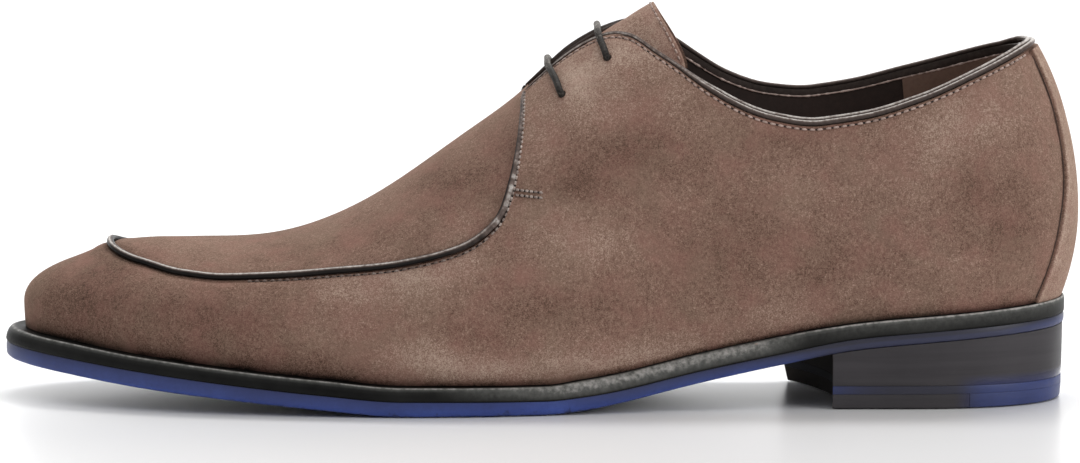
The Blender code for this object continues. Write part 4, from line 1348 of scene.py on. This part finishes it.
def lace_bar(number):
    """Route of one bar from the outer hole to the inner hole."""
    halves = []
    for side, lift in ((OUTER, 0.0), (INNER, FACING_LIFT)):
        hole, outward = eyelet(side, number)
        crossing = over_bead(side, EYELETS["crossing_x"][number], LACE_RADIUS - 0.15 + lift)
        share = np.array([0.3, 0.6])
        x, y = (hole[axis] + (crossing[axis] - hole[axis]) * share for axis in (0, 1))
        over = last.skin(side, *last.locate(side, x, 1, y), LACE_RADIUS - 0.1)
        halves.append(np.concatenate([[hole - outward * LACE_SINK, hole + outward * 0.7], over, [crossing]]))
    middle = (halves[0][-1] + halves[1][-1]) / 2 + np.array([0, 0, 0.35])
    return np.concatenate([halves[0], [middle], halves[1][::-1]])


def lace_under(side):
    """Route under one facing from the lower hole to the upper hole."""
    holes, outward = (np.array(rows) for rows in zip(*(eyelet(side, number) for number in PAIRS)))
    low, high = holes - outward * LACE_SINK
    return np.array([low, (low + high) / 2 - outward.mean(0) * 0.4, high])


def build_lace(cord):
    """One lace: two bars over the throat, run on under the facings between the holes."""
    shell = Shell()
    routes = [(lace_bar(number), 90, 1.0) for number in PAIRS]
    routes += [(lace_under(side), 30, LACE_FLAT) for side in SIDES]
    length = 0.0
    for points, count, flat in routes:
        path = smooth_path(points, count)
        length += arc(path)[-1]
        middle = np.array([0.5 * (points[0] + points[-1])[0], *LACE_CORE])
        # Each route is paler about its middle: a painted highlight where the cord rises
        tint_and_highlight = 0.28 * bell(np.linspace(0, 1, count) - 0.5, 0.2)
        shell.add(sweep(path, unit(path - middle), LACE_RADIUS, flat, LACE_FACES), ends_held(tint_and_highlight))
    print(f"lace length {length:.0f} mm")
    return shell.build("lace", cord, "waxed_cord", replaces=["lace_bar_1", "lace_bar_2"])


def shade_lines(shade):
    """Dark lines beside the back strip and where the apron dips beside its thin bead."""
    for side, quarter in quarters.items():
        share = np.linspace(0.02, 0.97, 80)
        place = backstay_half(share) + 0.1
        spot = side, place, quarter.rise_near_heel(place) * share
        shade.add(sweep(last.skin(*spot, 0.14), last.normal(*spot), 0.22, 0.6), -0.1)
        into = np.linspace(2.0, 52.0, 110)
        run = quarter.throat_foot + into
        radius, _, aside, _ = piping_row(quarter, run)
        path, outward = quarter.beside(run, APRON_LEVEL + 0.3, aside + radius + 0.1)
        wide = between(into, (2, 0.2), (12, 0.36), (42, 0.34), (52, 0.1))
        shade.add(sweep(path, outward, wide, 0.8), -0.3)


def build_stitches(pale, muted, dark):
    """Rows of sewing on the upper: pale round the apron's bend, close to the suede on collar and tongue."""
    apron, collar, shade = Shell(), Shell(), Shell()
    shade_lines(shade)
    for side, quarter in quarters.items():
        foot = quarter.throat_foot
        for thread, run, stitch in (
            (collar, np.linspace(12.0, foot - 3.0, 260), COLLAR_STITCH),
            (apron, foot + np.linspace(1.0, 52.0, 160), BEND_STITCH),
            (apron, foot + np.linspace(52.5, 125.0, 160), FRONT_STITCH),
        ):
            sew(thread, shade, *quarter.row(run, stitch_down(quarter, run), STITCH_LEVEL), **stitch)
        x = np.linspace(*TACK_X, 30)
        for drop in (0.0, TACK_APART):
            spot = side, *last.locate(side, x, 2, TACK_Z - drop - (x - TACK_X[0]) * TACK_SLOPE)
            sew(apron, shade, last.skin(*spot, TACK_LEVEL), last.normal(*spot), **TACK_STITCH)
    share, across = np.full(60, 1 - TONGUE_ROW / TONGUE_LENGTH), np.linspace(-0.9, 0.9, 60)
    spot = tongue_spot(share, across)
    row = last.skin(*spot, tongue_level(share, across) - 0.15)
    sew(collar, shade, row, last.normal(*spot), **TONGUE_STITCH)
    apron.build("apron_stitches", pale, "suede")
    collar.build("collar_stitches", muted, "suede")
    shade.build("seam_shade", dark, "suede")


def plan_grid(out, from_place, to_place, stations, across, hollow=0.0):
    """Plan points between the outlines: stations from first to last place, across from outer to inner."""
    share = (1 - np.cos(np.linspace(0, math.pi, stations + 1))) / 2
    rims = []
    for side, start, stop in zip(SIDES, from_place, to_place):
        place = start + (stop - start) * share
        rims.append(np.stack(last.outline(side, place, out(place)), -1)[:, None])
    split = np.linspace(0, 1, across + 1)[None, :, None]
    points = rims[0] + (rims[1] - rims[0]) * split
    points[..., 0] += hollow * (4 * split * (1 - split))[..., 0] * ((1 - share) ** 2)[:, None]
    return points


def full_plan(out, stations, across=6):
    """Plan points of the whole sole."""
    return plan_grid(out, (0, 0), (last.toe, last.toe), stations, across)


def with_height(plan, height):
    return np.concatenate([plan, np.broadcast_to(height, plan.shape[:2])[..., None]], -1)


def build_midsole(leather):
    """Black middle sole: a crisp edge in front with a painted highlight, a round glossy slope along the
    waist with painted sheen.
    """
    levels, tones = [], []
    for share, inset, slope, tip, edge, face in zip(*MIDSOLE.values()):
        def reach(place):
            x, welt = last.shared["edge_x"](place), last.shared["welt"](place)
            waist = between(x, (-20, 0), (22, 1), (60, 1), (84, 0))
            inward = inset + slope * waist + tip * between(x, (-149, 1), (-138, 0))
            return welt - np.minimum(inward, 0.75 * welt)

        plan = full_plan(reach, SOLE_STATIONS)
        x = plan[..., 0]
        low = sole_bottom(x) + outsole_thick(x) + GAP / 4
        levels.append(with_height(plan, low + (midsole_thick(x) - GAP / 2) * share))
        # glossy shifts the tone from the painted edge highlight to the painted sheen of the waist; greyer
        # over the heel
        glossy = between(x, (-30, 0), (10, 1), (62, 1), (77, 0))
        tones.append(edge * (1 - glossy) * 0.75 + face * (glossy * 0.72 + between(x, (70, 0), (88, 0.2))))
    return Shell().block(levels, np.array(tones)).build("midsole", leather, "black_leather", 35, ["midsole"])


def rough_edge(place, step=1.6):
    """Small random steps along an edge, from -1 to 1."""
    spots = np.arange(0, last.toe + step, step)
    return np.interp(place, spots, np.random.default_rng(3).uniform(-1, 1, len(spots)))


def build_outsole(rubber):
    """Blue sole with a rough lower edge."""
    levels, tones = [], []
    for share, inset, ragged in zip(*OUTSOLE.values()):
        def reach(place):
            return last.shared["welt"](place) - (inset + ragged * rough_edge(place))

        plan = full_plan(reach, 2 * SOLE_STATIONS)
        x = plan[..., 0]
        levels.append(with_height(plan, sole_bottom(x) + outsole_thick(x) * share))
        dull = np.interp(x, DULLNESS["x"], DULLNESS["tone"]) - between(share, (0.5, 0), (1, 0.3))
        worn = between(share, (0, 0.9), (0.1, 0.6), (0.3, 0))
        tones.append(dull + worn * between(x, (-130, 0.4), (-100, 1), (60, 1), (80, 0)))
    tones[0][:, 1:-1] = WORN_AND_SHADED_TONE
    return Shell().block(levels, np.array(tones)).build("outsole", rubber, "blue_rubber", 35, ["outsole"])


def build_insole(leather):
    """Plate inside the upper, a little dished across."""
    plan = full_plan(lambda place: -INSOLE_INSET, 90, 10)
    bottom = sole_top(plan[..., 0]) + CLEAR
    dish = INSOLE_DISH * (1 - np.linspace(-1, 1, 11) ** 4)
    shell = Shell().block([with_height(plan, bottom), with_height(plan, bottom + INSOLE_THICK - dish)])
    return shell.build("insole", leather, "lining", replaces=["insole"])


def heel_plan(inset, first, final, z):
    """Plan of the heel at a height, between two shares of the way from its breast to its back."""
    inner_x = BREAST_INNER_X + BREAST_LEAN * (1 - z / sole_bottom(BREAST_INNER_X))
    breast = (float(last.place_at(BREAST_OUTER_X)), float(last.place_at(inner_x)))
    start, stop = ([b * (1 - share) for b in breast] for share in (first, final))
    hollow = BREAST_HOLLOW if first == 0 else 0.0
    return plan_grid(lambda place: last.shared["welt"](place) - inset, start, stop, 60, 16, hollow)


def build_heel(stack, rubber):
    """Stack, lift, and the two parts of the top piece."""
    def layer(name, made_of, slot, rows, first=0, final=1):
        levels = []
        for inset, height in rows:
            plan = heel_plan(inset, first, final, height)
            levels.append(with_height(plan, np.minimum(height, sole_bottom(plan[..., 0]) - CLEAR)))
        levels = np.array(levels)
        x, z = levels[..., 0], levels[..., 2]
        # Breast faces are darkened as painted shade in the hollow breast: brown on the leather, dark on the
        # lift
        if slot == "black_leather":
            tones = -between(x, (118, 0), (126, 0.8)) * between(z, (4, 1), (6.5, 0.9), (9.5, 0))
            tones[:, :2] = between(levels[:, :2, :, 1], (-34, 0.55), (-28, 0.8), (-18, 1))
        else:
            tones = between(x, (83, -0.7), (92, -0.92), (100, -1), (119, -1), (125, -0.6), (150, -0.45))
            if first == 0:
                tones[:, :2] = WORN_AND_SHADED_TONE
        Shell().block(levels, tones).build(name, made_of, slot, 30, [name])

    layer("heel_stack", stack, "black_leather", (
        (LIFT_INSET + 0.15, LIFT_TOP + CLEAR),
        (LIFT_INSET, LIFT_TOP + 0.3),
        *STACK_SIDE,
    ))
    layer("heel_lift", rubber, "blue_rubber", (
        (LIFT_INSET + BEVEL, LIFT_BOTTOM),
        (LIFT_INSET, LIFT_BOTTOM + 0.1),
        (LIFT_INSET, LIFT_TOP - 0.1),
        (LIFT_INSET + BEVEL, LIFT_TOP),
    ))
    rows = (
        (FLOOR_INSET + 0.5, 0.0),
        (FLOOR_INSET + 0.1, 0.25),
        (FLOOR_INSET, 0.6),
        (LIFT_INSET, TOP_PIECE_TOP),
        (LIFT_INSET + BEVEL, LIFT_BOTTOM - CLEAR),
    )
    layer("top_piece_front", stack, "black_leather", rows, 0, TOP_PIECE_SPLIT - SPLIT_SLIT)
    layer("top_piece_rear", rubber, "blue_rubber", rows, TOP_PIECE_SPLIT + SPLIT_SLIT, 1)


def build_welt_stitches(thread):
    """A few stitches of the welt seam, where they show in front of the heel."""
    shell = Shell()
    place = np.linspace(*last.place_at(WELT_ROW_X), 60)
    x, y = last.outline(OUTER, place, last.shared["welt"](place) - WELT_ROW_INSET)
    path = np.stack([x, y, sole_top(x) - WELT_ROW_DOWN], -1)
    outward = np.tile(unit(np.array([0.0, -0.8, 0.6])), (len(path), 1))
    sew(shell, None, path, outward, **WELT_STITCH)
    return shell.build("welt_stitches", thread, "black_leather")


def light(name, place, aim, size, power):
    """A soft rectangular studio light."""
    data = bpy.data.lights.new(name, "AREA")
    data.shape = "RECTANGLE"
    data.size, data.size_y = size
    data.energy = power
    lamp = link(name, data)
    lamp.location = place
    lamp.rotation_euler = (Vector(aim) - Vector(place)).to_track_quat("-Z", "Y").to_euler()


def build_stage():
    """Pale floor, soft light and the photograph's camera."""
    scene = bpy.context.scene
    scene.view_settings.view_transform = "Standard"
    world = bpy.data.worlds.new("studio")
    world.use_nodes = True
    sky = world.node_tree.nodes["Background"].inputs
    sky["Color"].default_value = (1.0, 1.0, 1.0, 1.0)
    sky["Strength"].default_value = SKY_STRENGTH
    scene.world = world
    paper = Finish("paper", Roughness=0.3)
    stops = (0.0, (0.94, 0.94, 0.945)), (1.0, (0.96, 0.96, 0.965))
    paper.set("Base Color", paper.ramp(paper.noise(3.0), *stops))
    data = bpy.data.meshes.new("floor")
    signs = ((-1, -1), (1, -1), (1, 1), (-1, 1))
    corners = [(x * FLOOR_REACH, y * FLOOR_REACH, -FLOOR_DROP) for x, y in signs]
    data.from_pydata(corners, [], [(0, 1, 2, 3)])
    data.materials.append(paper.made)
    floor = link("floor", data)
    light("overhead", (0.0, 0.85, 2.5), (0.0, 0.85, 0.0), (7.0, 6.0), 76)
    light("key", (0.1, 0.5, 1.5), (0.0, 0.0, 0.05), (0.9, 0.3), 10)
    light("front", (2.2, -1.6, 0.9), (0.0, 0.0, 0.05), (1.4, 1.0), 23)
    light("backdrop", (0.0, 3.0, 1.0), (0.0, 0.0, 0.3), (6.0, 2.0), 45)
    lens = bpy.data.cameras.new("camera")
    lens.sensor_width = SENSOR_WIDTH
    lens.lens = SENSOR_WIDTH * FOCAL_PIXELS / IMAGE_WIDTH
    camera = link("camera", lens)
    back = Vector((0, -math.cos(CAMERA_ELEVATION), math.sin(CAMERA_ELEVATION)))
    camera.location = (Vector((-MIDDLE[0], -MIDDLE[1], AIM_HEIGHT)) + back * CAMERA_DISTANCE) * MM
    camera.rotation_euler = (math.pi / 2 - CAMERA_ELEVATION, 0, 0)
    scene.camera = camera


def main():
    suede = suede_finish("suede")
    # Pale colours of the black leathers are painted highlights; their greys are partly painted sheen
    trim = black_leather_finish(
        "trim_leather", (10, 10, 10), (110, 96, 90), (198, 192, 186), rough=0.4, grain=900, shine=0.12,
    )
    edge = black_leather_finish(
        "edge_leather", (9, 9, 9), (95, 95, 92), (176, 173, 169), rough=0.5, grain=700, shine=0.1,
    )
    lining = lining_finish("lining_leather", (42, 33, 30), (70, 55, 50))
    counter = lining_finish("counter_leather", (118, 93, 81), (160, 131, 115))
    pale = lining_finish("cut_leather", (176, 150, 142), (236, 214, 204))
    light_thread = thread_finish("light_thread", (98, 80, 72), (206, 190, 180))
    muted_thread = thread_finish("muted_thread", (136, 113, 103), (194, 170, 159))
    # Painted shade for needle holes and for the dark lines by the back strip and the apron's bead
    hole_shade = lining_finish("needle_shade", (18, 12, 10), (96, 68, 57))
    rubber = rubber_finish("blue_rubber")
    stack = stack_finish("heel_leather")
    cord = cord_finish("waxed_cord")
    build_stage()
    walls = build_wall(suede), build_lining(lining)
    punch_eyelets(*walls)
    build_apron(suede)
    build_counter_lining(counter)
    build_collar_band(trim)
    build_band_edge(pale)
    build_apron_piping(trim)
    build_collar_piping(trim)
    build_backstay(suede)
    build_tongue(suede)
    build_lace(cord)
    build_stitches(light_thread, muted_thread, hole_shade)
    build_midsole(edge)
    build_outsole(rubber)
    build_insole(counter)
    build_heel(stack, rubber)
    build_welt_stitches(light_thread)


main()
bpy.context.view_layer.update()
